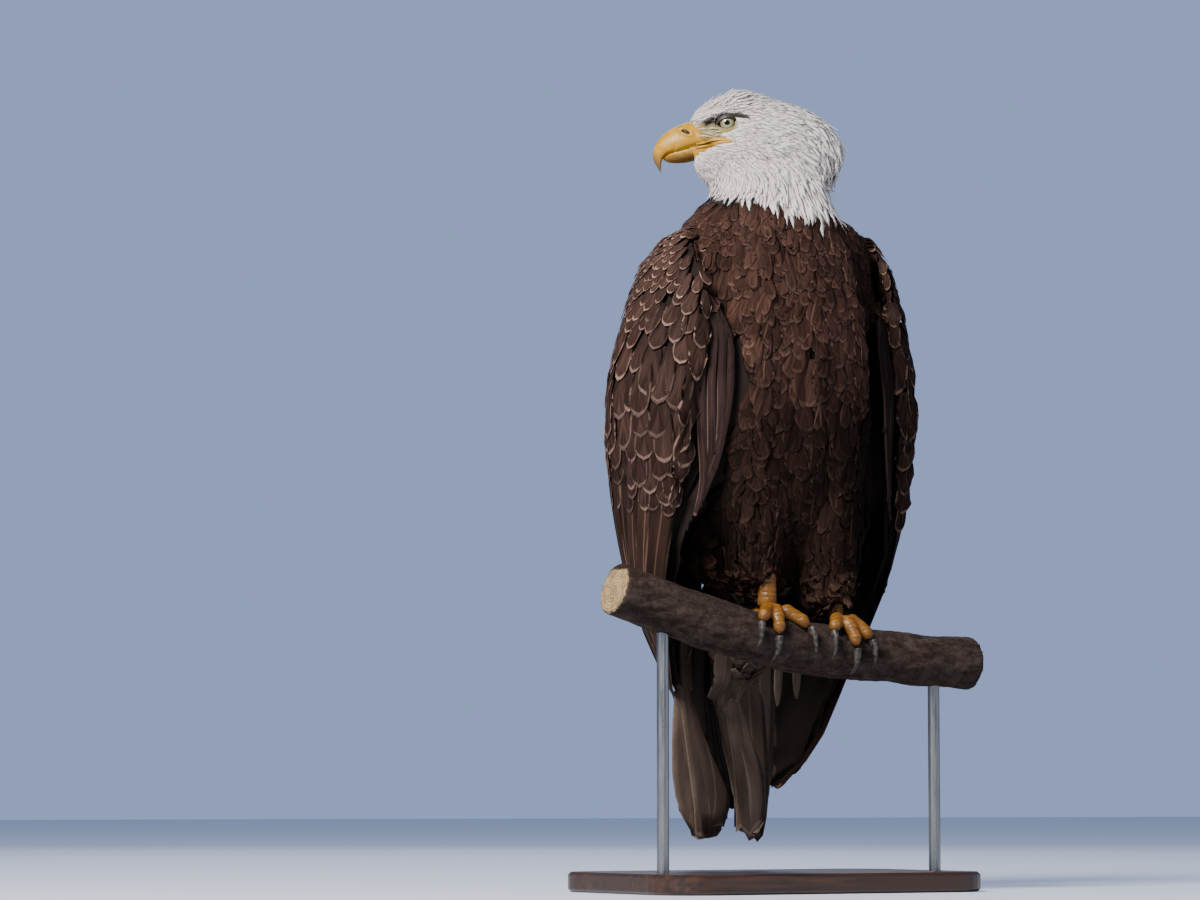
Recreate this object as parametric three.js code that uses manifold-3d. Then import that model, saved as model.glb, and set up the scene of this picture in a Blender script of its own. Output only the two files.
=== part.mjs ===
// A bald eagle perched on a cut length of branch, held over a display base by two rods.
// Millimetres, +Z up. The bird faces -Y with its head turned to its right, so "right" is the -X side.
// The origin is on the underside of the base, straight below the middle of the perch.
import * as THREE from "three";
import { mergeVertices } from "three/addons/utils/BufferGeometryUtils.js";
import Module from "manifold-3d";

const wasm = await Module();
wasm.setup();

// ---------- driving dimensions ----------
const gap = 0.4; // between pieces that touch
const full = 2 * Math.PI;

const stand = {
  length: 380, depth: 240, thickness: 20, corner: 45, bevel: 3, centreY: 50,
  rodRadius: 6, rodSpread: 160,
};
const branch = { left: -215, right: 205, radius: 26 };
const branchHeight = profile([[-215, 296], [-110, 265], [-20, 245], [90, 236], [205, 230]]);

// The outer form of the body with its folded wings, as ellipse-like sections by height.
const form = {
  squareness: 2.35,
  centreY: profile([[60, 128], [150, 110], [210, 92], [290, 72], [450, 74], [560, 70], [640, 64], [712, 57]]),
  halfWidth: profile([[60, 24], [130, 74], [204, 93], [274, 128], [355, 152], [480, 172], [563, 160],
    [616, 145], [646, 129], [670, 100], [712, 64]]),
  front: profile([[60, 22], [130, 42], [204, 52], [274, 66], [340, 88], [430, 106], [520, 112], [590, 104],
    [646, 86], [680, 72], [712, 60]]),
  back: profile([[60, 46], [150, 66], [220, 82], [300, 98], [450, 108], [560, 106], [640, 90], [680, 74],
    [712, 60]]),
  flareLeft: profile([[60, 1.5], [130, 1.45], [204, 1.2], [274, 1.07], [400, 1]]),
  flareRight: profile([[60, 0.7], [154, 0.72], [204, 0.8], [274, 1], [540, 1], [620, 0.95]]),
};
const trunk = { top: 712, bottom: 292, roundTop: 30, roundBottom: 120 };
const neck = { x: 3.5, y: 55, top: 752, bottom: 640 };
const neckLong = profile([[640, 80], [672, 77], [688, 71], [712, 63], [752, 48]]);
const neckWide = profile([[640, 82], [672, 70], [688, 62], [712, 54], [752, 38]]);

// The head's own frame: s runs forward to the bill, h up, l to the bird's left.
const head = { x: -10, y: 62, z: 761, turn: THREE.MathUtils.degToRad(150) };
const headTop = profile([[-92, -22], [-78, 8], [-56, 29], [-20, 42], [22, 51], [46, 41], [62, 31], [74, 14]]);
const headBottom = profile([[-92, -26], [-70, -58], [-30, -70], [20, -64], [46, -52], [58, -38], [66, -26],
  [74, -6]]);
const headWidth = profile([[-92, 0], [-82, 22], [-60, 37], [-30, 41], [0, 38], [33, 31], [55, 25], [68, 19],
  [74, 0]]);
const brow = { s: 34, h: 25.5, l: 23, length: 21, height: 5, width: 9, tilt: 0.14 };
const eye = { s: 31, h: 13, l: 17.5, radius: 14 };

// Bill outlines in the head's s-h plane, from the gape to the tip.
const culmen = curve([[27, -1], [46, 0], [57, 8], [66, 17.5], [76, 16.6], [88, 11.3], [98, 3], [104.5, -7], [106, -19],
  [98, -34]]);
const tomium = curve([[27, -3], [44, -4.6], [60, -7], [72, -10], [82, -12.5], [91, -15], [96.5, -20], [98, -27],
  [98, -34]]);
const gonys = curve([[27, -5], [42, -9], [56, -17], [66, -21.5], [78, -23.6], [90, -23], [95, -20.5]]);
const lowerRim = curve([[27, -3.6], [44, -5.2], [60, -7.8], [72, -10.8], [82, -13.2], [90, -16], [95, -20]]);
const billWidth = profile([[0, 19], [0.25, 17], [0.42, 14], [0.6, 11.5], [0.8, 7], [1, 0.8]]);
const lowerWidth = profile([[0, 18], [0.4, 14], [0.7, 9.5], [0.9, 6], [1, 3]]);
const cereFront = { s: 80, h: 4, lean: 0.3 };

// The folded wing: an outer layer of coverts and secondaries over an inner layer of primaries. Each layer's
// edges are angles round the form from the front, and its insets are depths below the form.
const outerLayer = {
  top: 672, roundTop: 60, roundBottom: 30, around: 18, along: 12,
  outside: () => 0,
  inside: profile([[130, 7], [300, 9], [450, 14], [600, 17], [670, 12]]),
  backEdge: profile([[110, 140], [200, 168], [560, 177], [620, 160], [672, 110]]),
};
const innerLayer = {
  top: 602, roundTop: 34, roundBottom: 56, around: 12, along: 10,
  outside: profile([[70, 7.4], [300, 9.4], [450, 14.4], [600, 17.4]]),
  inside: profile([[70, 14], [200, 15], [450, 23], [600, 26]]),
  backEdge: profile([[70, 170], [130, 174], [400, 160], [602, 80]]),
};
const wings = [
  {
    side: "right", sign: -1,
    outer: {
      bottom: 188,
      frontEdge: profile([[150, 150], [204, 118], [265, 90], [310, 74], [400, 52], [520, 44],
        [600, 46], [672, 66]]),
    },
    inner: {
      bottom: 92,
      frontEdge: profile([[90, 158], [154, 146], [204, 120], [265, 84], [310, 66], [400, 38], [520, 28],
        [602, 40]]),
    },
  },
  {
    side: "left", sign: 1,
    outer: {
      bottom: 98,
      frontEdge: profile([[98, 112], [204, 94], [265, 84], [310, 74], [400, 56], [520, 48],
        [600, 48], [672, 66]]),
    },
    inner: {
      bottom: 78,
      frontEdge: profile([[90, 138], [130, 112], [204, 94], [265, 82], [310, 68], [400, 44], [520, 34],
        [602, 42]]),
    },
  },
];
const covertEdge = { z: 408, lean: 0.35 };

// Each half of the tail lies between its outer and inner edge.
const tail = { thick: 8, cup: 0.05, middleY: profile([[57, 152], [180, 148], [260, 138], [338, 112]]) };
const tails = [
  {
    side: "right", top: 300, bottom: 50,
    outer: profile([[49, -44], [90, -60], [140, -62], [300, -56]]),
    inner: profile([[49, 13], [100, 11], [244, -40], [300, -50]]),
  },
  {
    side: "left", top: 338, bottom: 46,
    outer: profile([[46, 40], [84, 54], [140, 58], [240, 54], [338, 34]]),
    inner: profile([[46, 18], [100, 15], [244, -30], [338, -34]]),
  },
];
const tailCoverts = { x: 0, y: 118, z: 275, halfWidth: 46, depth: 26, height: 62 };

const thigh = { top: 440, halfWidth: 41, depth: 38, y: 12 };
const tarsus = { radius: 9.2, top: 322, overPerch: 9 };
const toe = { radius: 8.2, tipRadius: 6, clawRadius: 4.6, clawTip: 0.6 };
const legs = [
  { side: "right", mirror: 1, x: -38, y: 0, thighX: -44, thighBottom: 298, thighTip: 25,
    spread: { 1: -2, 2: 33, 3: -8, 4: -27 } },
  { side: "left", mirror: -1, x: 42, y: 2, thighX: 38, thighBottom: 272, thighTip: 27,
    spread: { 1: -2, 2: 20, 3: -4, 4: -24 } },
];
// Each toe runs round the perch between two angles, with 0 at the front and a quarter turn on top.
const toes = [
  { number: 1, from: 1.95, to: 3.05, claw: 0.95 },
  { number: 2, from: 1.35, to: 0.62, claw: 0.72 },
  { number: 3, from: 1.3, to: 0.12, claw: 0.75 },
  { number: 4, from: 1.35, to: 0.42, claw: 0.7 },
];

// ---------- curves ----------

// A smooth function through [place, value] pairs, level beyond its ends.
function profile(pairs) {
  const slope = pairs.map((p, i) => {
    const a = pairs[Math.max(i - 1, 0)];
    const b = pairs[Math.min(i + 1, pairs.length - 1)];
    return (b[1] - a[1]) / (b[0] - a[0]);
  });
  return (x) => {
    if (x <= pairs[0][0]) return pairs[0][1];
    if (x >= pairs.at(-1)[0]) return pairs.at(-1)[1];
    const i = pairs.findIndex((p) => p[0] > x) - 1;
    const [x0, v0] = pairs[i];
    const [x1, v1] = pairs[i + 1];
    const w = x1 - x0;
    const t = (x - x0) / w;
    return v0 * (1 + 2 * t) * (1 - t) ** 2 + slope[i] * w * t * (1 - t) ** 2
      + v1 * t * t * (3 - 2 * t) + slope[i + 1] * w * t * t * (t - 1);
  };
}

// A smooth planar curve through points, as a function of the share of its length.
function curve(points) {
  const line = new THREE.SplineCurve(points.map(([s, h]) => new THREE.Vector2(s, h)));
  return (t) => line.getPointAt(THREE.MathUtils.clamp(t, 0, 1));
}

// A sine or cosine bent towards a square (power under 1) or a point (over 1).
const bent = (v, power) => Math.sign(v) * Math.abs(v) ** power;

// A value between two ends for t from 0 to 1, with its steps closer together near both ends.
const between = (a, b, t) => a + (b - a) * (t - 0.6 * Math.sin(full * t) / full);

// 0 at the end of a piece, 1 once past its rounded length.
const rounded = (distance, length) => Math.sqrt(1 - (1 - Math.min(Math.max(distance / length, 0), 1)) ** 2);

// ---------- closed shapes ----------

// A closed surface: a sphere's vertices moved to place(angle, t), with t from 0 at one pole to 1 at the other.
function shaped(around, along, place) {
  const geometry = new THREE.SphereGeometry(1, around, along);
  const position = geometry.attributes.position;
  for (let i = 0; i < position.count; i++) {
    const row = Math.floor(i / (around + 1));
    const atPole = row === 0 || row === along;
    const column = atPole ? 0 : i % (around + 1) % around;
    const p = place((column / around) * full, row / along);
    position.setXYZ(i, p.x, p.y, p.z);
  }
  return geometry;
}

// A three.js geometry as a manifold-3d solid with its faces pointing out, every face moved out by grow.
function solid(geometry, grow = 0) {
  const bare = geometry.clone();
  bare.deleteAttribute("normal");
  bare.deleteAttribute("uv");
  const merged = mergeVertices(bare, 1e-3);
  const triVerts = new Uint32Array(merged.index.array);
  const corners = merged.attributes.position.array;
  const made = asManifold(corners, triVerts);
  if (made.volume() < 0) {
    for (let i = 0; i < triVerts.length; i += 3) {
      [triVerts[i], triVerts[i + 1]] = [triVerts[i + 1], triVerts[i]];
    }
  }
  return asManifold(grow ? movedOut(corners, triVerts, grow) : corners, triVerts);
}

const asManifold = (corners, triVerts) => new wasm.Manifold(
  new wasm.Mesh({ numProp: 3, vertProperties: new Float32Array(corners), triVerts }));

// Each vertex moved along its normal, by more where its faces meet at an edge.
function movedOut(corners, triVerts, distance) {
  const at = (i) => new THREE.Vector3().fromArray(corners, i * 3);
  const around = Array.from({ length: corners.length / 3 }, () => []);
  for (let i = 0; i < triVerts.length; i += 3) {
    const [a, b, c] = triVerts.slice(i, i + 3);
    const normal = at(b).sub(at(a)).cross(at(c).sub(at(a)));
    if (normal.length() > 1e-6) [a, b, c].forEach((v) => around[v].push(normal.clone().normalize()));
  }
  return around.flatMap((normals, i) => {
    const mean = normals.reduce((sum, n) => sum.add(n), new THREE.Vector3()).normalize();
    const sharpest = Math.min(...normals.map((n) => n.dot(mean)));
    return at(i).addScaledVector(mean, distance / Math.max(sharpest, 0.35)).toArray();
  });
}

// A round limb along path(t), radius(t) thick, with rounded ends.
function limb(path, radius, around, along, flat = 1) {
  const up = new THREE.Vector3(0.31, 0.2, 0.93).normalize();
  return shaped(around, along, (angle, t) => {
    const centre = path(t);
    const ahead = path(Math.min(t + 0.02, 1)).sub(path(Math.max(t - 0.02, 0))).normalize();
    const across = new THREE.Vector3().crossVectors(ahead, up).normalize();
    const over = new THREE.Vector3().crossVectors(across, ahead);
    const r = radius(t) * Math.min(rounded(t, 0.12), rounded(1 - t, 0.12));
    centre.addScaledVector(across, r * Math.cos(angle));
    return centre.addScaledVector(over, r * flat * Math.sin(angle));
  });
}

function ellipsoid(centre, radii, around, along) {
  return shaped(around, along, (angle, t) => new THREE.Vector3(
    centre.x + radii.x * Math.sin(t * Math.PI) * Math.cos(angle),
    centre.y + radii.y * Math.sin(t * Math.PI) * Math.sin(angle),
    centre.z + radii.z * Math.cos(t * Math.PI),
  ));
}

// Cuts a solid at a plane and leaves the gap between its two sides.
function split(piece, point, normal) {
  const n = new THREE.Vector3(...normal).normalize();
  const along = n.dot(new THREE.Vector3(...point));
  return [
    piece.trimByPlane(n.toArray(), along + gap / 2),
    piece.trimByPlane(n.clone().negate().toArray(), -along + gap / 2),
  ];
}

// The largest body of a solid that a cut left in several.
const mainBody = (piece) => piece.decompose().reduce((a, b) => (b.volume() > a.volume() ? b : a));

// ---------- frames ----------

const forward = new THREE.Vector3(Math.cos(head.turn), Math.sin(head.turn), 0);
const leftward = new THREE.Vector3(-Math.sin(head.turn), Math.cos(head.turn), 0);

// A point in the head's frame: s forward, l to the bird's left, h up.
const inHead = (s, l, h) => new THREE.Vector3(head.x, head.y, head.z + h)
  .addScaledVector(forward, s).addScaledVector(leftward, l);

// A point of the body's form at an angle from the front (positive to the left) and a height, set in by inset.
function onForm(angle, z, inset) {
  const power = 2 / form.squareness;
  const depth = Math.cos(angle) > 0 ? form.front(z) : form.back(z);
  const flare = THREE.MathUtils.lerp(form.flareRight(z), form.flareLeft(z), 0.5 + 0.5 * Math.sin(angle));
  return new THREE.Vector3(
    (form.halfWidth(z) * flare - inset) * bent(Math.sin(angle), power),
    form.centreY(z) - (depth - inset) * bent(Math.cos(angle), power),
    z,
  );
}

// ---------- body ----------

function trunkForm() {
  const { top, bottom, roundTop, roundBottom } = trunk;
  const wingDepth = profile([[280, 20], [450, 28], [560, 31], [620, 23], [690, 0]]);
  return shaped(20, 11, (angle, t) => {
    const z = between(top, bottom, t);
    const turned = Math.abs(angle > Math.PI ? full - angle : angle);
    const inset = wingDepth(z) * THREE.MathUtils.smoothstep(turned, 0.2, 0.62);
    const share = Math.min(rounded(top - z, roundTop), rounded(z - bottom, roundBottom));
    const p = onForm(angle, z, inset);
    const centre = new THREE.Vector3(0, form.centreY(z), z);
    return centre.lerp(p, share);
  });
}

function neckForm() {
  const { x, y, top, bottom } = neck;
  return shaped(18, 6, (angle, t) => {
    const z = between(top, bottom, t);
    const share = Math.min(rounded(top - z, 30), rounded(z - bottom, 16));
    return new THREE.Vector3(x, y, z)
      .addScaledVector(forward, neckLong(z) * share * Math.cos(angle))
      .addScaledVector(leftward, neckWide(z) * share * Math.sin(angle));
  });
}

function headForm() {
  const back = -92;
  const front = 74;
  return shaped(16, 11, (angle, t) => {
    const s = back + (front - back) * (0.5 - 0.5 * Math.cos(Math.PI * t));
    const middle = (headTop(s) + headBottom(s)) / 2;
    const half = (headTop(s) - headBottom(s)) / 2 * Math.min(rounded(t, 0.12), rounded(1 - t, 0.12));
    const width = headWidth(s) * Math.min(rounded(t, 0.12), rounded(1 - t, 0.12));
    return inHead(s, width * bent(Math.sin(angle), 0.9), middle + half * bent(Math.cos(angle), 0.95));
  });
}

function browForm(side) {
  return shaped(8, 6, (angle, t) => {
    const along = brow.length * Math.cos(t * Math.PI);
    const r = Math.sin(t * Math.PI);
    return inHead(brow.s + along, side * (brow.l + brow.width * r * Math.cos(angle)),
      brow.h - along * brow.tilt + brow.height * r * Math.sin(angle));
  });
}

const eyeBall = (side) => ellipsoid(
  inHead(eye.s, side * eye.l, eye.h), { x: eye.radius, y: eye.radius, z: eye.radius }, 12, 8);

// A half of the bill between an upper and a lower outline, egg-shaped across.
function billHalf(upper, lower, width) {
  return shaped(10, 10, (angle, t) => {
    const p = upper(t).lerp(lower(t), 0.5 - 0.5 * Math.cos(angle));
    const l = width(t) * rounded(t, 0.08) * bent(Math.sin(angle), 0.75);
    return inHead(p.x, t >= 1 ? 0 : l, p.y);
  });
}

function thighForm(leg) {
  const low = leg.thighBottom;
  return shaped(14, 10, (angle, t) => {
    const z = thigh.top + (low - thigh.top) * t;
    const share = Math.min(rounded(thigh.top - z, 60), rounded(z - low, 34));
    const widening = THREE.MathUtils.smoothstep(z, low, low + 90);
    const wide = THREE.MathUtils.lerp(leg.thighTip, thigh.halfWidth, widening);
    const deep = THREE.MathUtils.lerp(leg.thighTip - 4, thigh.depth, widening);
    return new THREE.Vector3(
      leg.thighX + wide * share * Math.cos(angle), thigh.y + deep * share * Math.sin(angle), z);
  });
}

const tailCovertForm = () => ellipsoid(
  tailCoverts, { x: tailCoverts.halfWidth, y: tailCoverts.depth, z: tailCoverts.height }, 16, 9);

// ---------- wings and tail ----------

// A layer of the folded wing: a band that follows the body's form from its front edge round to the back.
function wingLayer(sign, layer, { bottom, frontEdge }) {
  const { top, roundTop, roundBottom, around, along, outside, inside, backEdge } = layer;
  return shaped(around, along, (angle, t) => {
    const z = between(top, bottom, t);
    const share = Math.min(rounded(top - z, roundTop), rounded(z - bottom, roundBottom));
    const front = THREE.MathUtils.degToRad(frontEdge(z));
    const back = THREE.MathUtils.degToRad(backEdge(z));
    const place = (front + back) / 2 + ((back - front) / 2) * share * bent(Math.cos(angle), 0.8);
    const across = Math.sqrt(share) * bent(Math.sin(angle), 0.7);
    const inset = (outside(z) + inside(z)) / 2 - ((inside(z) - outside(z)) / 2) * across;
    return onForm(sign * place, z, inset);
  });
}

function tailHalf({ top, bottom, outer, inner }) {
  return shaped(12, 9, (angle, t) => {
    const z = between(top, bottom, t);
    const share = Math.min(rounded(top - z, 20), rounded(z - bottom, 16));
    const middle = (outer(z) + inner(z)) / 2;
    const reach = Math.abs(outer(z) - inner(z)) / 2;
    const x = middle + reach * share * bent(Math.cos(angle), 0.8);
    const depth = (tail.thick / 2) * Math.sqrt(share);
    const y = tail.middleY(z) - tail.cup * Math.abs(x) + depth * bent(Math.sin(angle), 0.7);
    return new THREE.Vector3(x, y, z);
  });
}

// ---------- feet ----------

// A point round the perch at a place along it: out is the distance beyond the bark.
function roundPerch(x, angle, out) {
  const r = branch.radius + gap + out;
  return new THREE.Vector3(x, -r * Math.cos(angle), branchHeight(x) + r * Math.sin(angle));
}

function toeForm(leg, { number, from, to }) {
  const spread = leg.mirror * leg.spread[number];
  const thickness = (t) => THREE.MathUtils.lerp(toe.radius, toe.tipRadius, t) * (1 + 0.07 * Math.cos(3 * full * t));
  const path = (t) => {
    const x = leg.x + spread * (0.18 + 0.82 * t);
    return roundPerch(x, THREE.MathUtils.lerp(from, to, t), thickness(t) + 0.3);
  };
  return limb(path, thickness, 8, 7);
}

function clawForm(leg, { number, from, to, claw }) {
  const turn = Math.sign(to - from);
  const path = (t) => {
    const x = leg.x + leg.mirror * leg.spread[number] * (1 + 0.12 * t);
    const start = to + turn * 0.12;
    return roundPerch(x, start + turn * claw * t, toe.tipRadius - 0.5 + 2 * Math.sin(Math.PI * t) - 2.6 * t);
  };
  const thickness = (t) => THREE.MathUtils.lerp(toe.clawRadius, toe.clawTip, t ** 0.8);
  return limb(path, thickness, 6, 6, 1.15);
}

function tarsusForm(leg) {
  const low = branchHeight(leg.x) + branch.radius + tarsus.overPerch;
  const path = (t) => new THREE.Vector3(leg.x, leg.y + 2, THREE.MathUtils.lerp(tarsus.top, low - 6, t));
  return limb(path, (t) => tarsus.radius * (1 + 0.18 * t * t), 10, 6);
}

// ---------- perch and stand ----------

function perchForm() {
  const points = Array.from({ length: 9 }, (_, i) => {
    const x = THREE.MathUtils.lerp(branch.left, branch.right, i / 8);
    return new THREE.Vector3(x, 0, branchHeight(x));
  });
  const section = new THREE.Shape().absarc(0, 0, branch.radius, 0, full);
  const path = new THREE.CatmullRomCurve3(points);
  return new THREE.ExtrudeGeometry(section, { extrudePath: path, steps: 8, curveSegments: 8 });
}

function baseForm() {
  const { length, depth, thickness, corner, bevel, centreY } = stand;
  const x = length / 2 - bevel;
  const y = depth / 2 - bevel;
  const outline = new THREE.Shape();
  outline.moveTo(-x + corner, -y).lineTo(x - corner, -y);
  outline.absarc(x - corner, -y + corner, corner, -Math.PI / 2, 0);
  outline.absarc(x - corner, y - corner, corner, 0, Math.PI / 2);
  outline.absarc(-x + corner, y - corner, corner, Math.PI / 2, Math.PI);
  outline.absarc(-x + corner, -y + corner, corner, Math.PI, 1.5 * Math.PI);
  const plate = new THREE.ExtrudeGeometry(outline, {
    depth: thickness - 2 * bevel, bevelThickness: bevel, bevelSize: bevel, bevelSegments: 1, curveSegments: 4,
  });
  plate.translate(0, centreY, bevel);
  return plate;
}

function rodForm(side) {
  const x = side * stand.rodSpread;
  const low = stand.thickness + gap;
  const rod = new THREE.CylinderGeometry(stand.rodRadius, stand.rodRadius, branchHeight(x) - low, 16);
  rod.rotateX(Math.PI / 2);
  rod.translate(x, 0, (branchHeight(x) + low) / 2);
  return rod;
}

// ---------- assembly ----------

const material = (color, roughness, metalness = 0) =>
  new THREE.MeshStandardMaterial({ color, roughness, metalness });
const finish = {
  white: material(0xe9e6e0, 0.85),
  brown: material(0x3b2c25, 0.85),
  wing: material(0x4a382e, 0.85),
  quill: material(0x2c2422, 0.7),
  tail: material(0xc9c0b4, 0.85),
  horn: material(0xd9a93c, 0.4),
  iris: material(0xc9c08a, 0.1),
  scale: material(0xd29a2e, 0.55),
  claw: material(0x2a2624, 0.35),
  bark: material(0x6f6560, 0.9),
  wood: material(0x3a2a20, 0.45),
  steel: material(0x8c8c8c, 0.3, 0.9),
};

const eagle = new THREE.Group();
const simplifyBy = 0.07; // less than the gap, so that pieces stay apart

// Adds the main body of a solid to the model as a named mesh.
function add(name, piece, look) {
  const { vertProperties, triVerts } = mainBody(piece).simplify(simplifyBy).getMesh();
  const geometry = new THREE.BufferGeometry();
  geometry.setAttribute("position", new THREE.BufferAttribute(new Float32Array(vertProperties), 3));
  geometry.setIndex(new THREE.BufferAttribute(new Uint32Array(triVerts), 1));
  geometry.computeVertexNormals();
  const mesh = new THREE.Mesh(geometry, look);
  mesh.name = name;
  eagle.add(mesh);
}

const union = (pieces) => pieces.reduce((a, b) => a.add(b));
const cut = (piece, cutters) => cutters.reduce((a, b) => a.subtract(b), piece);
const cutter = (form) => solid(form, gap).add(solid(form));

const perch = perchForm();
const eyes = [eyeBall(1), eyeBall(-1)];
const upperBill = billHalf(culmen, tomium, billWidth);
const lowerBill = billHalf(lowerRim, gonys, lowerWidth);
const tarsi = legs.map(tarsusForm);
const feet = legs.map((leg) => toes.map((digit) => toeForm(leg, digit)));
const tailHalves = tails.map(tailHalf);
const outerWings = wings.map((w) => wingLayer(w.sign, outerLayer, w.outer));
const innerWings = wings.map((w) => wingLayer(w.sign, innerLayer, w.inner));

// The feathered body, less all that grows out of it or lies on it.
const flesh = union([
  trunkForm(), neckForm(), headForm(), browForm(1), browForm(-1), tailCovertForm(), ...legs.map(thighForm),
].map((form) => solid(form)));
const body = cut(flesh, [
  upperBill, lowerBill, ...eyes, ...outerWings, ...innerWings, ...tailHalves, ...tarsi, ...feet.flat(), perch,
].map(cutter));

// The body is parted at the throat, the base of the neck, the rump and the thighs.
const [headPart, belowHead] = split(body, inHead(0, 0, -48).toArray(), [0, 0, 1]);
const collar = new THREE.Vector3(0, 0, 1).addScaledVector(forward, -0.17);
const [neckPart, belowNeck] = split(belowHead, inHead(0, 0, -78).toArray(), collar.toArray());
const [trunkPart, below] = split(belowNeck, [0, 0, 342], [0, -0.12, 1]);
const [rumpPart, thighParts] = split(below, [0, 70, 300], [0, 1, 0.2]);
const [thighLeft, thighRight] = split(thighParts, [-2, 0, 300], [1, 0, 0]);

add("head", headPart, finish.white);
add("neck", neckPart, finish.white);
add("trunk", trunkPart, finish.brown);
add("rump", rumpPart, finish.white);
add("thigh_right", thighRight, finish.brown);
add("thigh_left", thighLeft, finish.brown);

// The upper bill is parted where the soft cere ends.
const cereNormal = forward.clone().add(new THREE.Vector3(0, 0, cereFront.lean));
const cereEdge = inHead(cereFront.s, 0, cereFront.h);
const [beakTip, cere] = split(solid(upperBill), cereEdge.toArray(), cereNormal.toArray());
add("cere", cere, finish.horn);
add("beak_upper", beakTip, finish.horn);
add("beak_lower", cut(solid(lowerBill), [cutter(upperBill)]), finish.horn);
add("eye_left", solid(eyes[0]), finish.iris);
add("eye_right", solid(eyes[1]), finish.iris);

// Each wing's outer layer is parted into coverts and secondaries.
wings.forEach(({ side, sign }, i) => {
  const beside = [...tailHalves, perch].map(cutter);
  const slope = [sign * -covertEdge.lean * 0.3, -covertEdge.lean, 1];
  const outer = cut(solid(outerWings[i]), beside);
  const [coverts, secondaries] = split(outer, [0, 76, covertEdge.z], slope);
  add(`wing_${side}_coverts`, coverts, finish.wing);
  add(`wing_${side}_secondaries`, secondaries, finish.wing);
  add(`wing_${side}_primaries`, cut(solid(innerWings[i]), [cutter(outerWings[i]), ...beside]), finish.quill);
});
tails.forEach(({ side }, i) => add(`tail_${side}`, solid(tailHalves[i]), finish.tail));

legs.forEach((leg, i) => {
  let foot = cutter(tarsi[i]);
  add(`tarsus_${leg.side}`, cut(solid(tarsi[i]), [cutter(perch)]), finish.scale);
  toes.forEach((digit, k) => {
    const whole = feet[i][k];
    add(`toe_${leg.side}_${digit.number}`, cut(solid(whole), [foot, cutter(perch)]), finish.scale);
    const claw = cut(solid(clawForm(leg, digit)), [cutter(whole), cutter(perch)]);
    add(`claw_${leg.side}_${digit.number}`, claw, finish.claw);
    foot = foot.add(cutter(whole));
  });
});

add("perch", solid(perch), finish.bark);
add("stand_base", solid(baseForm()), finish.wood);
add("stand_rod_right", cut(solid(rodForm(-1)), [cutter(perch)]), finish.steel);
add("stand_rod_left", cut(solid(rodForm(1)), [cutter(perch)]), finish.steel);

export default eagle;
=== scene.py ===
# A bald eagle on a cut branch, as a life-size museum model on a display stand. Lengths are in metres.
import math

import bmesh
import bpy
import numpy as np
from mathutils import Matrix, Vector, kdtree, noise
from mathutils.bvhtree import BVHTree


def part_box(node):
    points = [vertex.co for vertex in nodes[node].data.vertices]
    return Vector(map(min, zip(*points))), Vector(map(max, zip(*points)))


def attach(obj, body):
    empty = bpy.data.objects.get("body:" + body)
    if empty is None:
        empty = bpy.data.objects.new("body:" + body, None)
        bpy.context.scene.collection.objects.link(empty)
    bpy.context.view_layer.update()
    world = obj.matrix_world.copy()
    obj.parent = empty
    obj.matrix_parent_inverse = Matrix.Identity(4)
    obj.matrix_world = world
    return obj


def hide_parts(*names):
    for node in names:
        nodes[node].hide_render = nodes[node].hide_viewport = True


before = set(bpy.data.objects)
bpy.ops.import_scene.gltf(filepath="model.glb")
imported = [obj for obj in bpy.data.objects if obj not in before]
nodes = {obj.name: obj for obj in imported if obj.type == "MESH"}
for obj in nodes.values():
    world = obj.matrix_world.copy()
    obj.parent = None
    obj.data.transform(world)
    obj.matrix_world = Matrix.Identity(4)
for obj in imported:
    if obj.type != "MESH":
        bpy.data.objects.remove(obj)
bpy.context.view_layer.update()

mm = 0.001
bakePatch = 0.003  # how much of the bake's map one feather takes up
sides = {"right": -1, "left": 1}


def profile(pairs):
    # a smooth function through pairs of place and value, level beyond its ends
    xs, vs = np.array(pairs, float).T
    before = np.r_[0, np.arange(len(xs) - 1)]
    after = np.r_[np.arange(1, len(xs)), len(xs) - 1]
    slope = (vs[after] - vs[before]) / (xs[after] - xs[before])

    def value(x):
        x = np.clip(x, xs[0], xs[-1])
        i = np.clip(np.searchsorted(xs, x, side="right") - 1, 0, len(xs) - 2)
        w = xs[i + 1] - xs[i]
        t = (x - xs[i]) / w
        start = vs[i] * (1 + 2 * t) * (1 - t) ** 2 + slope[i] * w * t * (1 - t) ** 2
        return start + vs[i + 1] * t * t * (3 - 2 * t) + slope[i + 1] * w * t * t * (t - 1)

    return value


def curve(points):
    # a smooth planar curve through points, as a function of the share of its length
    p = np.array(points, float)
    share = np.r_[0, np.cumsum(np.linalg.norm(np.diff(p, axis=0), axis=1))]
    share /= share[-1]
    first = profile(np.c_[share, p[:, 0]])
    second = profile(np.c_[share, p[:, 1]])
    return lambda t: np.array([first(t), second(t)])


def smoothstep(x, low, high):
    t = np.clip((x - low) / (high - low), 0, 1)
    return t * t * (3 - 2 * t)


def hump(x, start, full, fade, end):
    # rises from start to full, and falls again from fade to end
    return smoothstep(x, start, full) * (1 - smoothstep(x, fade, end))


def unit(v):
    return v / np.maximum(np.linalg.norm(v, axis=-1, keepdims=True), 1e-9)


def dotted(a, b):
    return (a * b).sum(-1, keepdims=True)


head = {"x": -10, "y": 62, "z": 761, "turn": 150}
forward = np.array([math.cos(math.radians(head["turn"])), math.sin(math.radians(head["turn"])), 0])
leftward = np.array([-forward[1], forward[0], 0])
upward = np.array([0, 0, 1.0])
headCentre = np.array([head["x"], head["y"], head["z"]]) * mm


def inHead(s, l, h):
    # s forward, l to the bird's left and h up, in millimetres
    return headCentre + (s * forward + l * leftward + h * upward) * mm


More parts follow.
